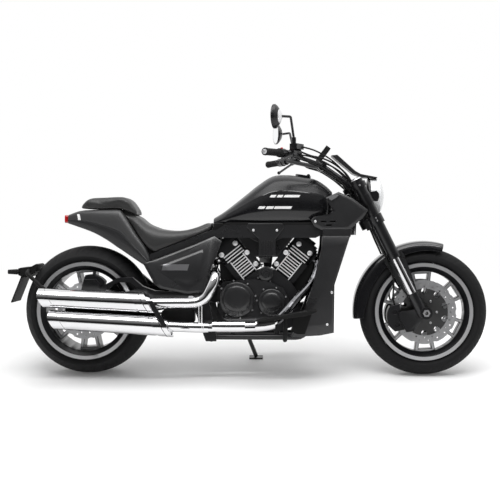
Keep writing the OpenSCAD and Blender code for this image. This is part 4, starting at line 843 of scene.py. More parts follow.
def fender_section(angle, inside):
    """Points (radius, sideways) of the shell's outside, or of a shell further inside."""
    skirt = lerp(40, 62, min(1, (angle - FENDER_FIRST) / 70)) - 16 * max(0, (angle - 165) / 21) ** 2
    r, w = FENDER_RADIUS - inside, FENDER_HALF - inside
    low = FENDER_RADIUS - skirt - 1.6
    half = flat_curve([(low, w), (lerp(low, r - 26, 0.6), w + 0.4), (r - 26, w), (r - 9, w - 9),
                       (r, w - 30), (r + 3, 0)], 4)
    return half + [(x, -y) for x, y in half[-2::-1]]


rings = []
for k in range(FENDER_STEPS + 1):
    angle = lerp(FENDER_FIRST, FENDER_LAST, k / FENDER_STEPS)
    shell = fender_section(angle, 0.0) + fender_section(angle, FENDER_WALL)[::-1]
    c, s = math.cos(math.radians(angle)), math.sin(math.radians(angle))
    rings.append([(WHEELBASE + r * c, -y, FRONT_RADIUS + r * s) for r, y in shell])
bm = bmesh.new()
verts = skin_rings(bm, rings, cap_ends=False)
for end in (verts[0], verts[-1]):
    for i in range(len(end) // 2 - 1):
        bm.faces.new((end[i], end[i + 1], end[-2 - i], end[-1 - i]))
fender = bevelled(finish_piece("fender_skin", bm, "steering", gloss_black, sharp=40), 1.2, angle=50)
print("fender faces:", len(fender.data.polygons))

# %% [markdown]
# Dark fillers close places where the real machine shows no daylight: the moulded air box in the V of the
# cylinders with a ribbed shield on each side, the joint between the shoulder panel and the radiator's
# side panel, and dull black blocks behind the engine, under the seats and beside the tank, which stand
# for unseen parts and whose black is painted shade for those inner spaces.

# %% Air box, side joints and blocks of painted shade
AIRBOX_OUTLINE = [(742, 735), (742, 712), (834, 594), (966, 594), (1058, 712), (1058, 735)]
SIDE_JOINTS = [
    ([(1184, 694), (1319, 694), (1330, 736), (1184, 736)], 146.0, 172.0),
    ([(1165, 742), (1255, 742), (1255, 780), (1165, 780)], 144.0, 150.0)]
# Dull black blocks in the inner spaces, for unseen parts: their black is painted shade.
INNER_SHADE_BLOCKS = [  # outline and half width
    ([(1015, 600), (1130, 640), (1150, 560), (1125, 470), (1085, 405), (1040, 420), (1000, 520)], 70.0),
    ([(670, 568), (760, 560), (766, 475), (676, 475)], 70.0),
    ([(886, 604), (938, 604), (930, 540), (894, 540)], 70.0),
    ([(636, 722), (694, 722), (694, 764), (650, 764)], 128.0),
    ([(185, 830), (244, 830), (244, 796), (185, 796)], 80.0),
    ([(316, 642), (374, 642), (374, 602), (316, 602)], 110.0)]
SHIELD_OUTLINE = [(818, 762), (988, 762), (996, 742), (954, 686), (954, 602), (871, 602), (871, 686),
                  (810, 742)]
RIBS = [[(x, 610), (x + 5, 610), (x + 5, 676), (x, 676)] for x in (884 + i * 12.5 for i in range(5))]
fillers = [
    prisms("airbox_body", [(AIRBOX_OUTLINE, -88.0, 88.0)], side_black, 6.0, 3),
    prisms("side_joints", mirrored(SIDE_JOINTS), charcoal, 2.0),
    prisms("inner_shade_blocks", [(outline, -half, half) for outline, half in INNER_SHADE_BLOCKS], deep_black, 4.0),
    prisms("airbox_shields", mirrored([(SHIELD_OUTLINE, 149.4, 156.0)]), side_black, 3.0, 3),
    prisms("airbox_ribs", mirrored([(rib, 155.0, 159.0) for rib in RIBS]), side_black, 1.2)]
print("filler faces:", [len(piece.data.polygons) for piece in fillers])

# %% [markdown]
# Small parts repeat all over the machine, so Geometry Nodes trees make them. Every tree has the same
# frame: it takes loose points, puts a shape on each, turns the result into a plain mesh and paints it.
# Only the shape and its turn differ, and the sizes are named inputs. The first one is a bolt head: a
# shank, a domed top and a six-sided mark, turned to the side that it faces.

# %% Trees that repeat a shape
GEOMETRY, MATERIAL = "NodeSocketGeometry", "NodeSocketMaterial"
TO_RIGHT, TO_LEFT = (0.0, -1.0, 0.0), (0.0, 1.0, 0.0)
UNTURNED = (0.0, 0.0, 0.0)


def repeat_tree(name, inputs, shape_of):
    tree = bpy.data.node_groups.new(name, "GeometryNodeTree")
    for label, kind in {"Geometry": GEOMETRY, **inputs, "Finish": MATERIAL}.items():
        tree.interface.new_socket(label, in_out="INPUT", socket_type=kind)
    tree.interface.new_socket("Geometry", in_out="OUTPUT", socket_type=GEOMETRY)
    graph = Graph(tree)
    given, end = graph.add("NodeGroupInput").outputs, graph.add("NodeGroupOutput")
    shape, turn = shape_of(graph, given)
    placed = graph.add("GeometryNodeInstanceOnPoints", {
        "Points": given["Geometry"], "Instance": shape, "Rotation": turn})
    real = graph.add("GeometryNodeRealizeInstances", {"Geometry": placed.outputs[0]})
    painted = graph.add("GeometryNodeSetMaterial", {
        "Geometry": real.outputs[0], "Material": given["Finish"]})
    graph.feed(end.inputs[0], painted.outputs[0])
    return tree


def from_tree(name, points, tree, values, body, place=MACHINE, sharp=40, carried=None):
    """Plain mesh that a tree makes of loose points, which may carry an attribute, hung on a body."""
    mesh = bpy.data.meshes.new(name)
    mesh.from_pydata(points, [], [])
    if carried:
        label, kind, key, numbers = carried
        mesh.attributes.new(label, kind, "POINT").data.foreach_set(key, numbers)
    piece = bpy.data.objects.new(name, mesh)
    scene.collection.objects.link(piece)
    maker = piece.modifiers.new("maker", "NODES")
    maker.node_group = tree
    for item in tree.interface.items_tree:
        if item.in_out == "INPUT" and item.name in values:
            maker[item.identifier] = values[item.name]
    bake_modifiers(piece)
    piece.data.transform(place)
    piece.data.shade_smooth()
    piece.data.set_sharp_from_angle(angle=math.radians(sharp))
    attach(piece, body)
    return piece


def moved(graph, node, **change):
    """A mesh node's shape, moved or turned."""
    return graph.add("GeometryNodeTransform", {"Geometry": node.outputs["Mesh"], **change}).outputs[0]


def bolt_head(graph, given):
    radius, height = given["Radius"], given["Height"]
    shank = graph.add("GeometryNodeMeshCylinder", {"Vertices": 20, "Radius": radius, "Depth": height})
    dome = graph.add("GeometryNodeMeshCone", {
        "Vertices": 20, "Radius Bottom": radius, "Radius Top": graph.times(radius, 0.72),
        "Depth": graph.times(height, 0.35)})
    top = graph.add("ShaderNodeCombineXYZ", {"Z": graph.times(height, 0.5)})
    mark = graph.add("GeometryNodeMeshCylinder", {
        "Vertices": 6, "Radius": graph.times(radius, 0.36), "Depth": graph.times(height, 1.74)})
    turn = graph.add("FunctionNodeAlignRotationToVector", {"Vector": given["Facing"]}, axis="Z")
    raised = moved(graph, dome, Translation=top.outputs[0])
    return graph.joined([shank.outputs["Mesh"], raised, mark.outputs["Mesh"]]), turn.outputs[0]


BOLTS = repeat_tree("bolt heads", {"Radius": FLOAT, "Height": FLOAT, "Facing": VECTOR}, bolt_head)


def bolts(name, points, radius, height, facing, metal, body, place=MACHINE):
    values = {"Radius": radius, "Height": height, "Facing": facing, "Finish": metal}
    return from_tree(name, points, BOLTS, values, body, place)


def ring_points(x, z, radius, count, y, start=0.0):
    turns = [math.radians(start) + 2 * math.pi * k / count for k in range(count)]
    return [(x + radius * math.cos(a), y, z + radius * math.sin(a)) for a in turns]


CAP_BOLTS = [(751, 93, 663), (683, 93, 604), (1069, 93, 659), (1123, 93, 613),
             (810, 94, 617), (854, 94, 560), (1004, 94, 617), (957, 94, 560)]
PANEL_BOLTS = [(1148, 174, 771), (1228, 187, 424), (1206, 187, 268), (844, 155.8, 728), (960, 155.8, 728)]
CLAMP_BOLTS = [(-15, 143, 516), (-15, 143, 530), (-15, 143, 710)]
for side, label in SIDES:
    facing = TO_RIGHT if side < 0 else TO_LEFT
    caps, panel, clamp = ([(x, side * y, z) for x, y, z in table]
                          for table in (CAP_BOLTS, PANEL_BOLTS, CLAMP_BOLTS))
    cover = ring_points(934, 373, 74, 7, side * 139.0, 20) + ring_points(904, 512, 44, 4, side * 113.0, 30)
    if side < 0:
        cover += ring_points(762, 386, 93, 8, -139.0, 10)
    disc = ring_points(*FRONT_AXLE, 62, 6, side * 65.5)
    bolts(f"engine_caps_{label}", caps, 13.0, 8.0, facing, fin_edge, "chassis")
    bolts(f"cover_bolts_{label}", cover, 4.6, 5.0, facing, steel, "chassis")
    bolts(f"panel_bolts_{label}", panel, 6.2, 4.0, facing, machined, "chassis")
    bolts(f"disc_bolts_{label}", disc, 6.0, 5.0, facing, steel, "front_wheel")
    bolts(f"clamp_bolts_{label}", clamp, 4.5, 5.0, facing, steel, "steering", FORK)
bolts("rear_disc_bolts", ring_points(*REAR_AXLE, 58, 6, -102.5), 6.0, 5.0, TO_RIGHT, steel, "rear_wheel")

# %% [markdown]
# The drive chain uses the same idea: a tree puts a link on each pitch of the loop. Every point carries
# the angle of its link as an attribute, so the plates follow the sprockets round.

# %% Drive chain
CHAIN_PITCH, CHAIN_SIDE = 15.875, 135.0
PLATE_SIDE, PLATE_STEP = 6.9, 0.35
REAR_TEETH, FRONT_TEETH = 44, 16
GEARBOX = Vector((640.0, 402.0))
ON_ITS_SIDE = (math.pi / 2, 0, 0)


def heading(angle):
    return Vector((math.cos(angle), math.sin(angle)))


def chain_loop():
    """Places and angles of the links, clockwise from the top of the rear sprocket."""
    rear = Vector(REAR_AXLE)
    big, small = (CHAIN_PITCH / (2 * math.sin(math.pi / n)) for n in (REAR_TEETH, FRONT_TEETH))
    span = GEARBOX - rear
    slope = math.atan2(span.y, span.x)
    wrap = math.acos((big - small) / span.length)
    run, front_arc = span.length * math.sin(wrap), small * 2 * wrap
    total = 2 * run + front_arc + big * (2 * math.pi - 2 * wrap)
    count = 2 * round(total / CHAIN_PITCH / 2)
    up, down = heading(slope + wrap), heading(slope - wrap)

    def spot(s):
        s %= total
        if s < run:
            return (rear + up * big).lerp(GEARBOX + up * small, s / run)
        if s < run + front_arc:
            return GEARBOX + small * heading(slope + wrap - (s - run) / small)
        if s < 2 * run + front_arc:
            return (GEARBOX + down * small).lerp(rear + down * big, (s - run - front_arc) / run)
        return rear + big * heading(slope - wrap - (s - 2 * run - front_arc) / big)
    places, angles = [], []
    for k in range(count):
        a, b = spot(k * total / count), spot((k + 1) * total / count)
        middle, along = (a + b) / 2, b - a
        places.append((middle.x, CHAIN_SIDE, middle.y))
        angles.append(math.atan2(along.y, along.x))
    return places, angles


def chain_link(graph, given):
    half = graph.times(given["Pitch"], 0.5)
    parts = []
    for side in (-1, 1):
        for end in (-1, 1):
            cheek = graph.add("GeometryNodeMeshCylinder", {"Vertices": 14, "Radius": 6.6, "Depth": 2.0})
            spot = graph.add("ShaderNodeCombineXYZ", {
                "X": graph.times(half, float(end)), "Y": side * (PLATE_SIDE + PLATE_STEP * end)})
            parts.append(moved(graph, cheek, Translation=spot.outputs[0], Rotation=ON_ITS_SIDE))
        waist = graph.add("GeometryNodeMeshCube", {"Size": (CHAIN_PITCH, 1.6, 8.6)})
        parts.append(moved(graph, waist, Translation=(0.0, side * PLATE_SIDE, 0.0)))
    pin = graph.add("GeometryNodeMeshCylinder", {"Vertices": 12, "Radius": 4.8, "Depth": 13.0})
    spot = graph.add("ShaderNodeCombineXYZ", {"X": half})
    parts.append(moved(graph, pin, Translation=spot.outputs[0], Rotation=ON_ITS_SIDE))
    angle = graph.add("GeometryNodeInputNamedAttribute", {"Name": "angle"}, data_type="FLOAT")
    turn = graph.add("ShaderNodeCombineXYZ", {"Y": graph.times(angle.outputs[0], -1.0)})
    return graph.joined(parts), turn.outputs[0]


places, angles = chain_loop()
chain = from_tree("chain_links", places, repeat_tree("chain links", {"Pitch": FLOAT}, chain_link),
                  {"Pitch": CHAIN_PITCH, "Finish": dark_steel}, "chassis", sharp=35,
                  carried=("angle", "FLOAT", "value", angles))
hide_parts("drive_chain")
print("chain links:", len(places))

# %% [markdown]
# The headlamp is a deep domed lens with a black ring behind it, a bright ring on its face and a light bar
# across. The lens is frosted inside, so it passes only part of the light and looks pale grey, not empty.

# %% Headlamp
LAMP_AXIS = Matrix.Translation((WHEELBASE - 233.0, 0, 898.0)) @ Matrix.Rotation(math.pi / 2, 4, "Y")
DOME_RADIUS, DOME_BACK = 186.6, 150
for name, profile, material in (
        ("lamp_drum", [(82.0, -36.0), (88.6, -36.6), (90.7, -34.0), (90.8, 9.0), (90.0, 12.6), (87.6, 14.4)],
         lens_glass),
        ("lamp_bezel", [(56.0, -50.0), (86.0, -47.0), (91.6, -44.6), (92.6, -41.0), (92.4, -36.4),
                        (90.4, -34.6), (82.0, -35.6)], satin_black),
        ("lamp_ring", [(60.0, 25.6), (61.0, 26.6), (66.0, 24.0), (66.4, 22.6), (62.0, 24.0)], chrome)):
    turned(name, profile, LAMP_AXIS, material, "steering")
bar = bmesh.new()
sheet(bar, [[LAMP_AXIS @ Vector((x, y, math.sqrt(DOME_RADIUS ** 2 - y * y - x * x) - DOME_BACK))
             for y in range(-56, 57, 8)] for x in (-5.0, -2.5, 0.0, 2.5, 5.0)])
finish_piece("lamp_bar", bar, "steering", machined)

# %% [markdown]
# Round mirrors carry a glass disc towards the rider and a bright cone at the stem. The grips are ribbed
# rubber with a turned end weight, and the right-hand pod has a red stop switch.

# %% Mirrors, grips and switches
BAR_X, BAR_Z = WHEELBASE - 509.0, 1050.0
GRIP_RADIUS, GRIP_LENGTH = 17.0, 128.0
RIB_COUNT, RIB_FIRST, RIB_PITCH, RIB_DEPTH = 24, 8.0, 4.6, 1.0
GLASS_PROFILE = [(0.01, -0.8), (52.0, -0.6), (53.0, 0.4)]
CONE_PROFILE = [(33.0, 27.8), (31.0, 29.4), (15.0, 37.0), (8.0, 39.0), (6.2, 39.2)]
END_PROFILE = [(0.01, -7.9), (9.0, -7.9), (10.5, -8.6), (12.5, -8.6), (13.0, -7.0)]

grip_profile = [(4.0, -7.6), (16.0, -7.8), (18.2, -5.0), (18.2, 3.0), (17.0, 5.0)]
for k in range(RIB_COUNT):
    h, low = RIB_FIRST + k * RIB_PITCH, GRIP_RADIUS - RIB_DEPTH
    grip_profile += [(low, h), (GRIP_RADIUS, h + 0.8), (GRIP_RADIUS, h + 3.0), (low, h + 3.8)]
grip_profile += [(GRIP_RADIUS, GRIP_LENGTH - 9.0), (21.6, GRIP_LENGTH - 7.6), (21.8, GRIP_LENGTH - 1.0),
                 (12.0, GRIP_LENGTH)]


def from_bar(x, y, z):
    return Vector((BAR_X + x, y, BAR_Z + z))


for side, label in SIDES:
    mirror_axis = Matrix.Translation(from_bar(-238, side * 396, 208))
    mirror_axis = mirror_axis @ Matrix.Rotation(math.radians(side * 16), 4, "Z")
    mirror_axis = mirror_axis @ Matrix.Rotation(math.pi / 2, 4, "Y")
    turned(f"mirror_glass_{label}", GLASS_PROFILE, mirror_axis, mirror_glass, "steering")
    turned(f"mirror_cone_{label}", CONE_PROFILE, mirror_axis, machined, "steering")
    grip_axis = line_frame(from_bar(-277, side * 430, 42), from_bar(-205, side * 310, 45))
    turned(f"grip_{label}", grip_profile, grip_axis, grip_rubber, "steering", steps=40)
    turned(f"bar_end_{label}", END_PROFILE, grip_axis, machined, "steering", steps=32)
    pod = grip_axis @ Vector((0, 0, GRIP_LENGTH + 18))
    block(f"switch_{label}", Matrix.Translation(pod + Vector((0, 0, 22.5))), (12, 16, 7),
          switch_red if side < 0 else grip_rubber, 2.0)
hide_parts("grips")

# %% [markdown]
# Control cables and hoses run from the hand controls along the bar and the risers to the steering head.
# They turn with the bar and end at the clamp, so they are plain tubes along smooth routes.

# %% Cables at the bar
CABLE_ROUTES = [  # radius, then places from the bar's middle: ahead, to the side, up
    (4.5, [(-118, 210, 62), (-60, 176, 42), (0, 132, 32), (60, 96, 6), (120, 70, -42), (160, 52, -102)]),
    (5.0, [(-118, 214, 50), (-70, 184, 10), (-6, 140, -14), (60, 100, -58), (110, 74, -102),
           (150, 56, -140)]),
    (4.0, [(-112, 236, 82), (-40, 206, 64), (40, 150, 24), (110, 96, -38), (150, 70, -98)])]
cables = bmesh.new()
for side, _ in SIDES:
    for radius, route in CABLE_ROUTES:
        path = curve_points([from_bar(x, side * y, z) for x, y, z in route], 8)
        skin_rings(cables, tube_rings(path, radius, 12))
cables = finish_piece("bar_cables", cables, "steering", grip_rubber)
print("cable faces:", len(cables.data.polygons))

# %% [markdown]
# The instrument has a dark glass face, and the radiator shows rows of thin fins between its tubes, which
# a tree repeats. Fork caps get turned tops.

# %% Instrument, radiator and fork caps
dash_frame = Matrix.Translation(from_bar(16, 0, 52.7)) @ Matrix.Rotation(math.radians(-53), 4, "Y")
block("instrument_face", dash_frame @ Matrix.Translation((2, 0, 25.2)), (69, 107, 2.2), screen_glass, 0.8)

DOWN_LOW, DOWN_HIGH = (1110.0, 230.0), (1262.0, 760.0)
FIN_SIZE, FIN_STEP, FIN_COLUMNS, ROW_STEP, FIN_ROWS = (8.0, 1.0, 10.6), 4.0, 63, 20.0, 18
CAP_PROFILE = [(0.01, 9.6), (9.0, 9.6), (10.0, 8.8), (19.0, 8.8), (20.0, 7.6), (27.0, 1.6), (28.2, 0.2)]


def cooling_fin(graph, given):
    return graph.add("GeometryNodeMeshCube", {"Size": given["Size"]}).outputs["Mesh"], UNTURNED


core_tilt = math.atan2(DOWN_HIGH[0] - DOWN_LOW[0], DOWN_HIGH[1] - DOWN_LOW[1])
core_frame = Matrix.Translation((DOWN_LOW[0], 0, DOWN_LOW[1])) @ Matrix.Rotation(core_tilt, 4, "Y")
fin_points = [(42.0, -124.0 + FIN_STEP * i, 69.5 + ROW_STEP * row)
              for row in range(FIN_ROWS) for i in range(FIN_COLUMNS)]
from_tree("radiator_fins", fin_points, repeat_tree("cooling fins", {"Size": VECTOR}, cooling_fin),
          {"Size": FIN_SIZE, "Finish": steel}, "chassis", MACHINE @ core_frame)
for side, label in SIDES:
    cap = turned(f"fork_cap_{label}", CAP_PROFILE, Matrix.Translation((-15, side * 105, 742)), machined,
                 "steering", steps=48)
    cap.data.transform(FORK @ MACHINE.inverted())
print("radiator fins:", len(fin_points))

# %% [markdown]
# The mufflers end in slanted tips and start in slanted sleeves, held by one black strap. A sleeve is a
# short profile turned round the can between two slanted cuts. A dull black cup inside each mouth is
# painted shade for the inside of the pipe, along with its soot, and a dark sheet behind the gap between
# the cans is painted shade. Bright shields wrap the pipes where a leg could touch them, and the dark box
# behind the pipes is where they meet.

# %% Exhaust bands and shields
CANS = {
    "upper": (Vector((-170.0, -246.0, 398.0)), Vector((344.0, -246.0, 374.0))),
    "lower": (Vector((-118.0, -246.0, 293.0)), Vector((432.0, -246.0, 262.0)))}
CAN_RADIUS, CAN_SLOPE, CAN_STEPS = 48.0, -0.58, 72
NOSE_LENGTH, NOSE_RADIUS = 60, 30.0


def can_radius(length, t):
    if t > length - NOSE_LENGTH:
        return lerp(CAN_RADIUS + 1, NOSE_RADIUS, (t - length + NOSE_LENGTH) / NOSE_LENGTH)
    return lerp(CAN_RADIUS - 2, CAN_RADIUS + 1, (t + 30) / (length - 30))


def sleeve_radius(length, t):
    return CAN_RADIUS + 1.0


def slanted_ring(name, axis, start, profile, material, radius=can_radius):
    """Turns points (along the can, out from its surface) round the can between slanted cuts."""
    can_frame, length = line_frame(*axis), (axis[1] - axis[0]).length
    along_can = Vector((0, 0, 1))
    up = (can_frame.to_3x3().inverted() @ Vector((0, 0, 1))).normalized()
    beside = along_can.cross(up).normalized()
    rings = []
    for k in range(CAN_STEPS):
        a = 2 * math.pi * k / CAN_STEPS
        out = up * math.sin(a) + beside * math.cos(a)
        t = start + CAN_SLOPE * CAN_RADIUS * math.sin(a)
        rings.append([can_frame @ (out * (radius(length, t + step) + lift) + Vector((0, 0, t + step)))
                      for step, lift in profile])
    bm = bmesh.new()
    sheet(bm, rings, loop=True)
    return finish_piece(name, bm, "chassis", material)


SLEEVE = [(-70.0, -0.4), (-69.4, 0.9), (-26.0, 0.9), (-25.4, 1.8), (-1.4, 1.8), (0.0, 0.6), (-1.0, -6.0),
          (-3.0, -27.0)]
SEAM = [(0, -0.4), (0.5, 1.2), (3.5, 1.2), (4, -0.4)]
TIP = [(0, -0.4), (0.5, 0.35), (1.6, 0.35), (2.0, -0.4)]
# A dull black cup inside each mouth: painted shade for the inside of the pipe, with its soot.
MOUTH_SOOT_AND_SHADE = [(40.6, 4.0), (40.6, 57.0), (0.01, 57.0)]
for label, axis in CANS.items():
    length = (axis[1] - axis[0]).length
    can = [(0, -0.4), (0.5, 0.5), (length - 100, 0.5), (length - 99.5, -0.4)]
    slanted_ring(f"muffler_{label}_sleeve", axis, length, SLEEVE, chrome, sleeve_radius)
    slanted_ring(f"muffler_{label}_seam", axis, length - 30, SEAM, deep_black, sleeve_radius)
    slanted_ring(f"muffler_{label}_can", axis, 31.0, can, chrome)
    slanted_ring(f"muffler_{label}_tip", axis, 28.0, TIP, dark_steel)
    turned(f"muffler_{label}_mouth", MOUTH_SOOT_AND_SHADE, line_frame(*axis), deep_black, "chassis")
# A dark sheet behind the gap between the cans: painted shade.
CAN_GAP_SHADE = [(-96, 378), (330, 360), (404, 282), (-66, 312)]
STRAP = [(338, 390), (364, 390), (437, 264), (411, 264)]
COLLECTOR = [(392, 292), (420, 274), (556, 274), (556, 344), (404, 338), (392, 326)]
prisms("muffler_gap_shade", [(CAN_GAP_SHADE, -206.0, -212.0)], deep_black)
prisms("muffler_strap", [(STRAP, -291.0, -297.5)], satin_black, 1.5)
prisms("exhaust_collector", [(COLLECTOR, -206.0, -118.0)], deep_black, 9.0, 3)

SHIELD_LINE = [(640, -234, 262), (780, -230, 261), (900, -226, 266), (965, -222, 280)]
SHIELD_OUT, SHIELD_IN = 27.5, 24.5
SHIELD_ARC = [math.radians(lerp(115, 250, j / 12)) for j in range(13)]


def shield_ring(p):
    outer = [p + Vector((0, SHIELD_OUT * math.cos(a), SHIELD_OUT * math.sin(a))) for a in SHIELD_ARC]
    inner = [p + Vector((0, SHIELD_IN * math.cos(a), SHIELD_IN * math.sin(a))) for a in SHIELD_ARC[::-1]]
    return outer + inner


shields = bmesh.new()
for first in (1, 16):
    skin_rings(shields, [shield_ring(p) for p in curve_points(SHIELD_LINE, 10)[first:first + 12]])
finish_piece("pipe_shields", shields, "chassis", chrome, sharp=40)

PIPE_COVERS = [
    [(661, -196, 508), (658, -222, 492), (640, -240, 446), (614, -243, 402), (566, -244, 378),
     (470, -245, 375), (352, -246, 374)],
    [(628, -236, 256), (560, -240, 257), (436, -246, 262)]]
covers = bmesh.new()
for route in PIPE_COVERS:
    skin_rings(covers, tube_rings(curve_points(route, 8), 25.6, 32))
finish_piece("pipe_covers", covers, "chassis", chrome, sharp=50)
PIPE_CLAMP = [(22.4, -9.0), (25.2, -8.2), (25.6, -2.0), (24.4, 0.0), (25.6, 2.0), (25.2, 8.2), (22.4, 9.0)]
for label, point, along in (("rear", (566, -244, 378), (-1, 0, 0.05)),
                            ("front", (600, -238, 256), (-1, -0.03, 0.06))):
    clamp = Matrix.Translation(point) @ Vector(along).to_track_quat("Z", "Y").to_matrix().to_4x4()
    turned(f"pipe_clamp_{label}", PIPE_CLAMP, clamp, machined, "chassis", steps=48)

# %% [markdown]
# The tail carries a ribbed red lamp and a narrow white strip, and the side cover a brushed metal strip.
# The strips are thin films like the tank's stripes.

# %% Tail lamp and strips
LAMP_LOW, LAMP_TOP, LAMP_ROWS, LAMP_RIBS = 764.5, 805.5, 32, 8
LAMP_BACK, LAMP_BULGE, RIB_BULGE = -113.0, 5.0, 1.2


def lamp_point(y, share):
    rib = RIB_BULGE * abs(math.sin(share * math.pi * LAMP_RIBS))
    return LAMP_BACK - LAMP_BULGE * math.cos(y / 60.0 * 1.3) - rib, y, lerp(LAMP_LOW, LAMP_TOP, share)


ribs = bmesh.new()
sheet(ribs, [[lamp_point(y, j / LAMP_ROWS) for y in range(-48, 49, 6)] for j in range(LAMP_ROWS + 1)])
face_back(ribs, 0)
finish_piece("tail_lamp_ribs", ribs, "chassis", lamp_red, outward=False)


def side_film(name, skin, corner, columns, rows, material):
    """Thin film on the right side, the only one that the photograph shows."""
    bm = bmesh.new()
    film(bm, skin_tree(skin), corner, columns, rows)
    face_back(bm, 1)
    return finish_piece(name, bm, "chassis", material, outward=False)


side_film("tail_strip", tail,
          lambda u, v: (lerp(75.6, 78.2, u) + 1.2 * v, lerp(214.0, 220.0, v)), 2, 6, white_paint)
side_film("cover_strip", rounded["side_covers"],
          lambda u, v: (lerp(161.0, 187.0, u) + 2.0 * (1 - v), lerp(264.4, 270.6, v)), 14, 4, strip_metal)
print("lamp and strips made")

# %% [markdown]
# The seats get a line of stitches along each side. Sideways rays find the seam on the cushion, and a tree
# turns every stitch along it.

# %% Stitches
SEAMS = [
    ("rider", rider, [(270, 758), (306, 724), (352, 704), (372, 699), (436, 697), (500, 707), (566, 727),
                      (612, 750)]),
    ("pillion", pillion, [(-14, 858), (14, 868), (90, 871), (168, 874), (204, 866), (232, 838)])]
STITCH_LENGTH, STITCH_THICKNESS, STITCH_SPACING = 4.6, 1.3, 7.0


def stitch(graph, given):
    thick = given["Thickness"]
    size = graph.add("ShaderNodeCombineXYZ", {"X": given["Length"], "Y": thick, "Z": thick})
    bead = graph.add("GeometryNodeMeshIcoSphere", {"Radius": 0.5, "Subdivisions": 2})
    along = graph.add("GeometryNodeInputNamedAttribute", {"Name": "along"}, data_type="FLOAT_VECTOR")
    turn = graph.add("FunctionNodeAlignRotationToVector", {"Vector": along.outputs[0]}, axis="X")
    return moved(graph, bead, Scale=size.outputs[0]), turn.outputs[0]


STITCHES = repeat_tree("stitches", {"Length": FLOAT, "Thickness": FLOAT}, stitch)


def seam(name, cushion, line, side):
    """Stitches where sideways rays at the line's points meet the cushion."""
    tree = skin_tree(cushion)
    hits = []
    for p in curve_points([(x, 0, z) for x, z in line], 12):
        hit, normal, _, _ = tree.ray_cast(Vector((p.x, side * 400.0, p.z)), Vector((0, -side, 0)))
        if hit:
            hits.append(hit + normal * 0.3)
    places, ways, travelled = [], [], 0.0
    for a, b in zip(hits, hits[1:]):
        step = (b - a).length
        while travelled < step:
            places.append(tuple(a.lerp(b, travelled / step)))
            ways.extend((b - a).normalized())
            travelled += STITCH_SPACING
        travelled -= step
    from_tree(name, places, STITCHES,
              {"Length": STITCH_LENGTH, "Thickness": STITCH_THICKNESS, "Finish": thread}, "chassis",
              sharp=180, carried=("along", "FLOAT_VECTOR", "vector", ways))
    return len(places)


counts = [seam(f"{label}_stitches_{side}", cushion, line, side)
          for label, cushion, line in SEAMS for side, _ in SIDES]
print("stitches:", counts)

# %% [markdown]
# The solids that already have the right shape keep it and only take a finish. One table names the finish
# of each.

# %% Finishes of the solids
SOLID_FINISH = {
    gloss_black: ["fuel_tank", "tail_fairing", "side_covers", "filler_cap"],
    charcoal: ["front_fender", "lamp_cowl", "radiator_shrouds", "shoulder_panels"],
    satin_black: ["fork_clamps", "fork_tubes", "fork_feet", "front_calipers", "headlamp_ears",
                  "headlamp_shell", "dash", "handlebar", "bar_controls", "rear_caliper", "frame_spars",
                  "frame_cradle", "swingarm", "stand_bracket", "side_stand", "footboards",
                  "plate_bracket", "mirrors"],
    wrinkle_black: ["crankcase", "engine_covers", "airbox_cover", "sprocket_cover"],
    chrome: ["fork_sliders", "mufflers"],
    chrome_dark: ["exhaust_pipes"],
    lens_glass: ["headlamp_lens"],
    indicator_lens: ["front_indicators"],
    steel: ["front_axle", "rear_axle", "pivot_bolt"],
    dark_steel: ["rear_sprocket", "drive_chain"],
    tyre_rubber: ["front_tyre", "rear_tyre"],
    grip_rubber: ["grips", "brake_hoses"],
    core_black: ["radiator"],
    front_rim_paint: ["front_rim"],
    rear_rim_paint: ["rear_rim"],
    front_disc_steel: ["front_discs"],
    rear_disc_steel: ["rear_disc"],
    barrel_paint: ["cylinders"],
    head_paint: ["cylinder_heads"],
    deep_black: ["rider_seat", "pillion_pad"],
    lamp_red: ["tail_light"],
}
for material, names in SOLID_FINISH.items():
    for name in names:
        nodes[name].data.materials.clear()
        nodes[name].data.materials.append(material)
print("solids without a finish:", set(nodes) - {n for names in SOLID_FINISH.values() for n in names})

# %% [markdown]
# The photograph looks at the machine's right side from about 4.7 metres, square to its middle plane, so
# the camera leans with the machine and looks slightly down at the floor. It turns a little towards the
# rear wheel instead of shifting its lens.

# %% Camera
PICTURE = (500.0, 479.0)

look = sight(PICTURE[0] / 2, PICTURE[1] / 2)
right = look.cross(Vector((0, 0, 1))).normalized()
rise = right.cross(look)
lens = bpy.data.cameras.new("photo camera")
lens.sensor_fit = "HORIZONTAL"
lens.sensor_width = 36.0
lens.lens = EYE_FOCAL / PICTURE[0] * lens.sensor_width
camera = bpy.data.objects.new("photo camera", lens)
camera_turn = LEAN @ Matrix((right, rise, -look)).transposed()
camera.matrix_world = Matrix.Translation(MACHINE @ EYE) @ camera_turn.to_4x4()
scene.collection.objects.link(camera)
scene.camera = camera
print("camera height:", round((MACHINE @ EYE).z, 3), "m")

# %% [markdown]
# The studio is a white floor that runs into a white surround, a large soft light overhead, and a dim side
# behind the camera. Near the machine the floor is mostly paint, so that it takes a shadow, and farther
# out it glows by itself and has no edge. Black paint and chrome live from what they mirror, so cards that
# run from black at the floor to pale at the top stand round the camera, where only reflections see them.
# One bright narrow card above them draws the long line of light on tank and chrome, and two lamps that
# are not mirrored add light from the side and from behind.

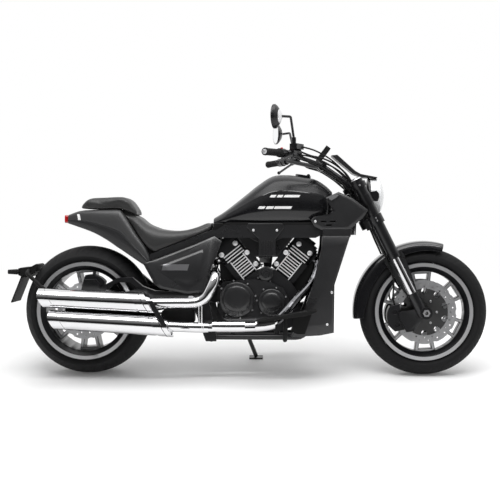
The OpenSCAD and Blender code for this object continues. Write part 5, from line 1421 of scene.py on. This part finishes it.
# %% Studio
WORLD_FILL, NEAR_GLOW = 0.55, 0.06
FLOOR_HALF, GLOW_FROM, GLOW_TO = 30, 1.2, 3.2
CARD_FROM, CARD_TO, CARD_LOW, CARD_HIGH = 2.2, 9.0, 0.015, 0.45
STRIP_GLOW = 8.0
CARDS = {
    "card behind camera": [(-9, -7, 0.02), (9, -7, 0.02), (9, -7, 9.0), (-9, -7, 9.0)],
    "card at left end": [(-9, -7, 0.02), (-9, -1.5, 0.02), (-9, -1.5, 9.0), (-9, -7, 9.0)],
    "card above camera": [(-9, -7, 9.0), (9, -7, 9.0), (9, -2.6, 9.0), (-9, -2.6, 9.0)],
    "card at right end": [(9, -7, 0.02), (9, -1.5, 0.02), (9, -1.5, 9.0), (9, -7, 9.0)]}
STRIP_CARD = [(-1.8, -2.0, 4.0), (2.4, -2.0, 4.0), (2.4, -2.5, 3.9), (-1.8, -2.5, 3.9)]


def seen_rays(graph):
    """1 for rays that show a picture: straight, mirrored or through glass."""
    path = graph.add("ShaderNodeLightPath").outputs
    seen = graph.math("MAXIMUM", path["Is Camera Ray"], path["Is Glossy Ray"])
    return graph.math("MAXIMUM", seen, path["Is Transmission Ray"])


def stage_plane(name, corners, material):
    mesh = bpy.data.meshes.new(name)
    mesh.from_pydata(corners, [], [list(range(len(corners)))])
    plane = bpy.data.objects.new(name, mesh)
    mesh.materials.append(material)
    scene.collection.objects.link(plane)
    return plane


def stage_paint(name):
    material = bpy.data.materials.new(name)
    material.use_nodes = True
    return material, Graph(material.node_tree), material.node_tree.nodes["Material Output"].inputs["Surface"]


def card_paint(name, level_of, sampling):
    """Paint that only glows, as strongly as level_of says."""
    material, graph, surface = stage_paint(name)
    material.cycles.emission_sampling = sampling
    material.node_tree.nodes.remove(shader_of(material))
    graph.feed(surface, graph.add("ShaderNodeEmission", {"Strength": level_of(graph)}).outputs[0])
    return material


def graded_level(graph):
    height = graph.add("ShaderNodeSeparateXYZ", {0: graph.object_place()})
    return graph.add("ShaderNodeMapRange", {
        "Value": height.outputs["Z"], "From Min": CARD_FROM, "From Max": CARD_TO,
        "To Min": CARD_LOW, "To Max": CARD_HIGH}).outputs[0]


def reflected_only(plane):
    plane.visible_camera = False
    plane.visible_diffuse = False
    return plane


def soft_light(name, place, target, size, power, mirrored=False):
    lamp = bpy.data.lights.new(name, "AREA")
    lamp.shape = "RECTANGLE"
    lamp.size, lamp.size_y = size
    lamp.energy = power
    light = bpy.data.objects.new(name, lamp)
    light.location = place
    light.rotation_euler = (Vector(target) - Vector(place)).to_track_quat("-Z", "Y").to_euler()
    light.visible_camera = False
    light.visible_glossy = mirrored
    scene.collection.objects.link(light)


scene.world = bpy.data.worlds.new("white surround")
scene.world.use_nodes = True
graph = Graph(scene.world.node_tree)
background = scene.world.node_tree.nodes["Background"].inputs
background["Color"].default_value = (1, 1, 1, 1)
graph.feed(background["Strength"], graph.math("MULTIPLY_ADD", seen_rays(graph), 1.0 - WORLD_FILL, WORLD_FILL))

floor_paint, graph, surface = stage_paint("white floor")
shader = shader_of(floor_paint)
shader.inputs["Base Color"].default_value = (0.95, 0.95, 0.95, 1)
shader.inputs["Roughness"].default_value = 0.9
glow = graph.add("ShaderNodeEmission", {"Color": (1, 1, 1, 1), "Strength": 1.0})
away = graph.add("ShaderNodeVectorMath", {0: graph.object_place()}, operation="LENGTH")
open_floor = graph.add("ShaderNodeMapRange", {
    "Value": away.outputs["Value"], "From Min": GLOW_FROM, "From Max": GLOW_TO, "To Min": NEAR_GLOW,
    "To Max": 1.0}, interpolation_type="SMOOTHSTEP")
share = graph.times(seen_rays(graph), open_floor.outputs[0])
blend = graph.add("ShaderNodeMixShader", {0: share, 1: shader.outputs[0], 2: glow.outputs[0]})
graph.feed(surface, blend.outputs[0])
stage_plane("floor", [(x * FLOOR_HALF, y * FLOOR_HALF, 0) for x, y in ((-1, -1), (1, -1), (1, 1), (-1, 1))],
            floor_paint)

graded = card_paint("graded card", graded_level, "NONE")
for name, corners in CARDS.items():
    reflected_only(stage_plane(name, corners, graded))
bright = card_paint("strip card", lambda graph: STRIP_GLOW, "FRONT_BACK")
reflected_only(stage_plane("strip card", STRIP_CARD, bright)).visible_shadow = False
soft_light("overhead light", (0.2, -0.6, 4.2), (0, 0, 0.4), (5.2, 2.6), 128, mirrored=True)
soft_light("side strip", (0.3, -2.3, 4.0), (0, 0, 0.8), (4.2, 0.35), 60)
soft_light("far strip", (-0.6, 3.6, 3.0), (0, 0, 0.8), (4.0, 1.0), 50)
print("lamps:", len(bpy.data.lights), "cards:", len(CARDS) + 1)

# %% [markdown]
# At the end the view transform is set to Standard, so that colours render as they are written.

# %% View transform
scene.view_settings.view_transform = "Standard"
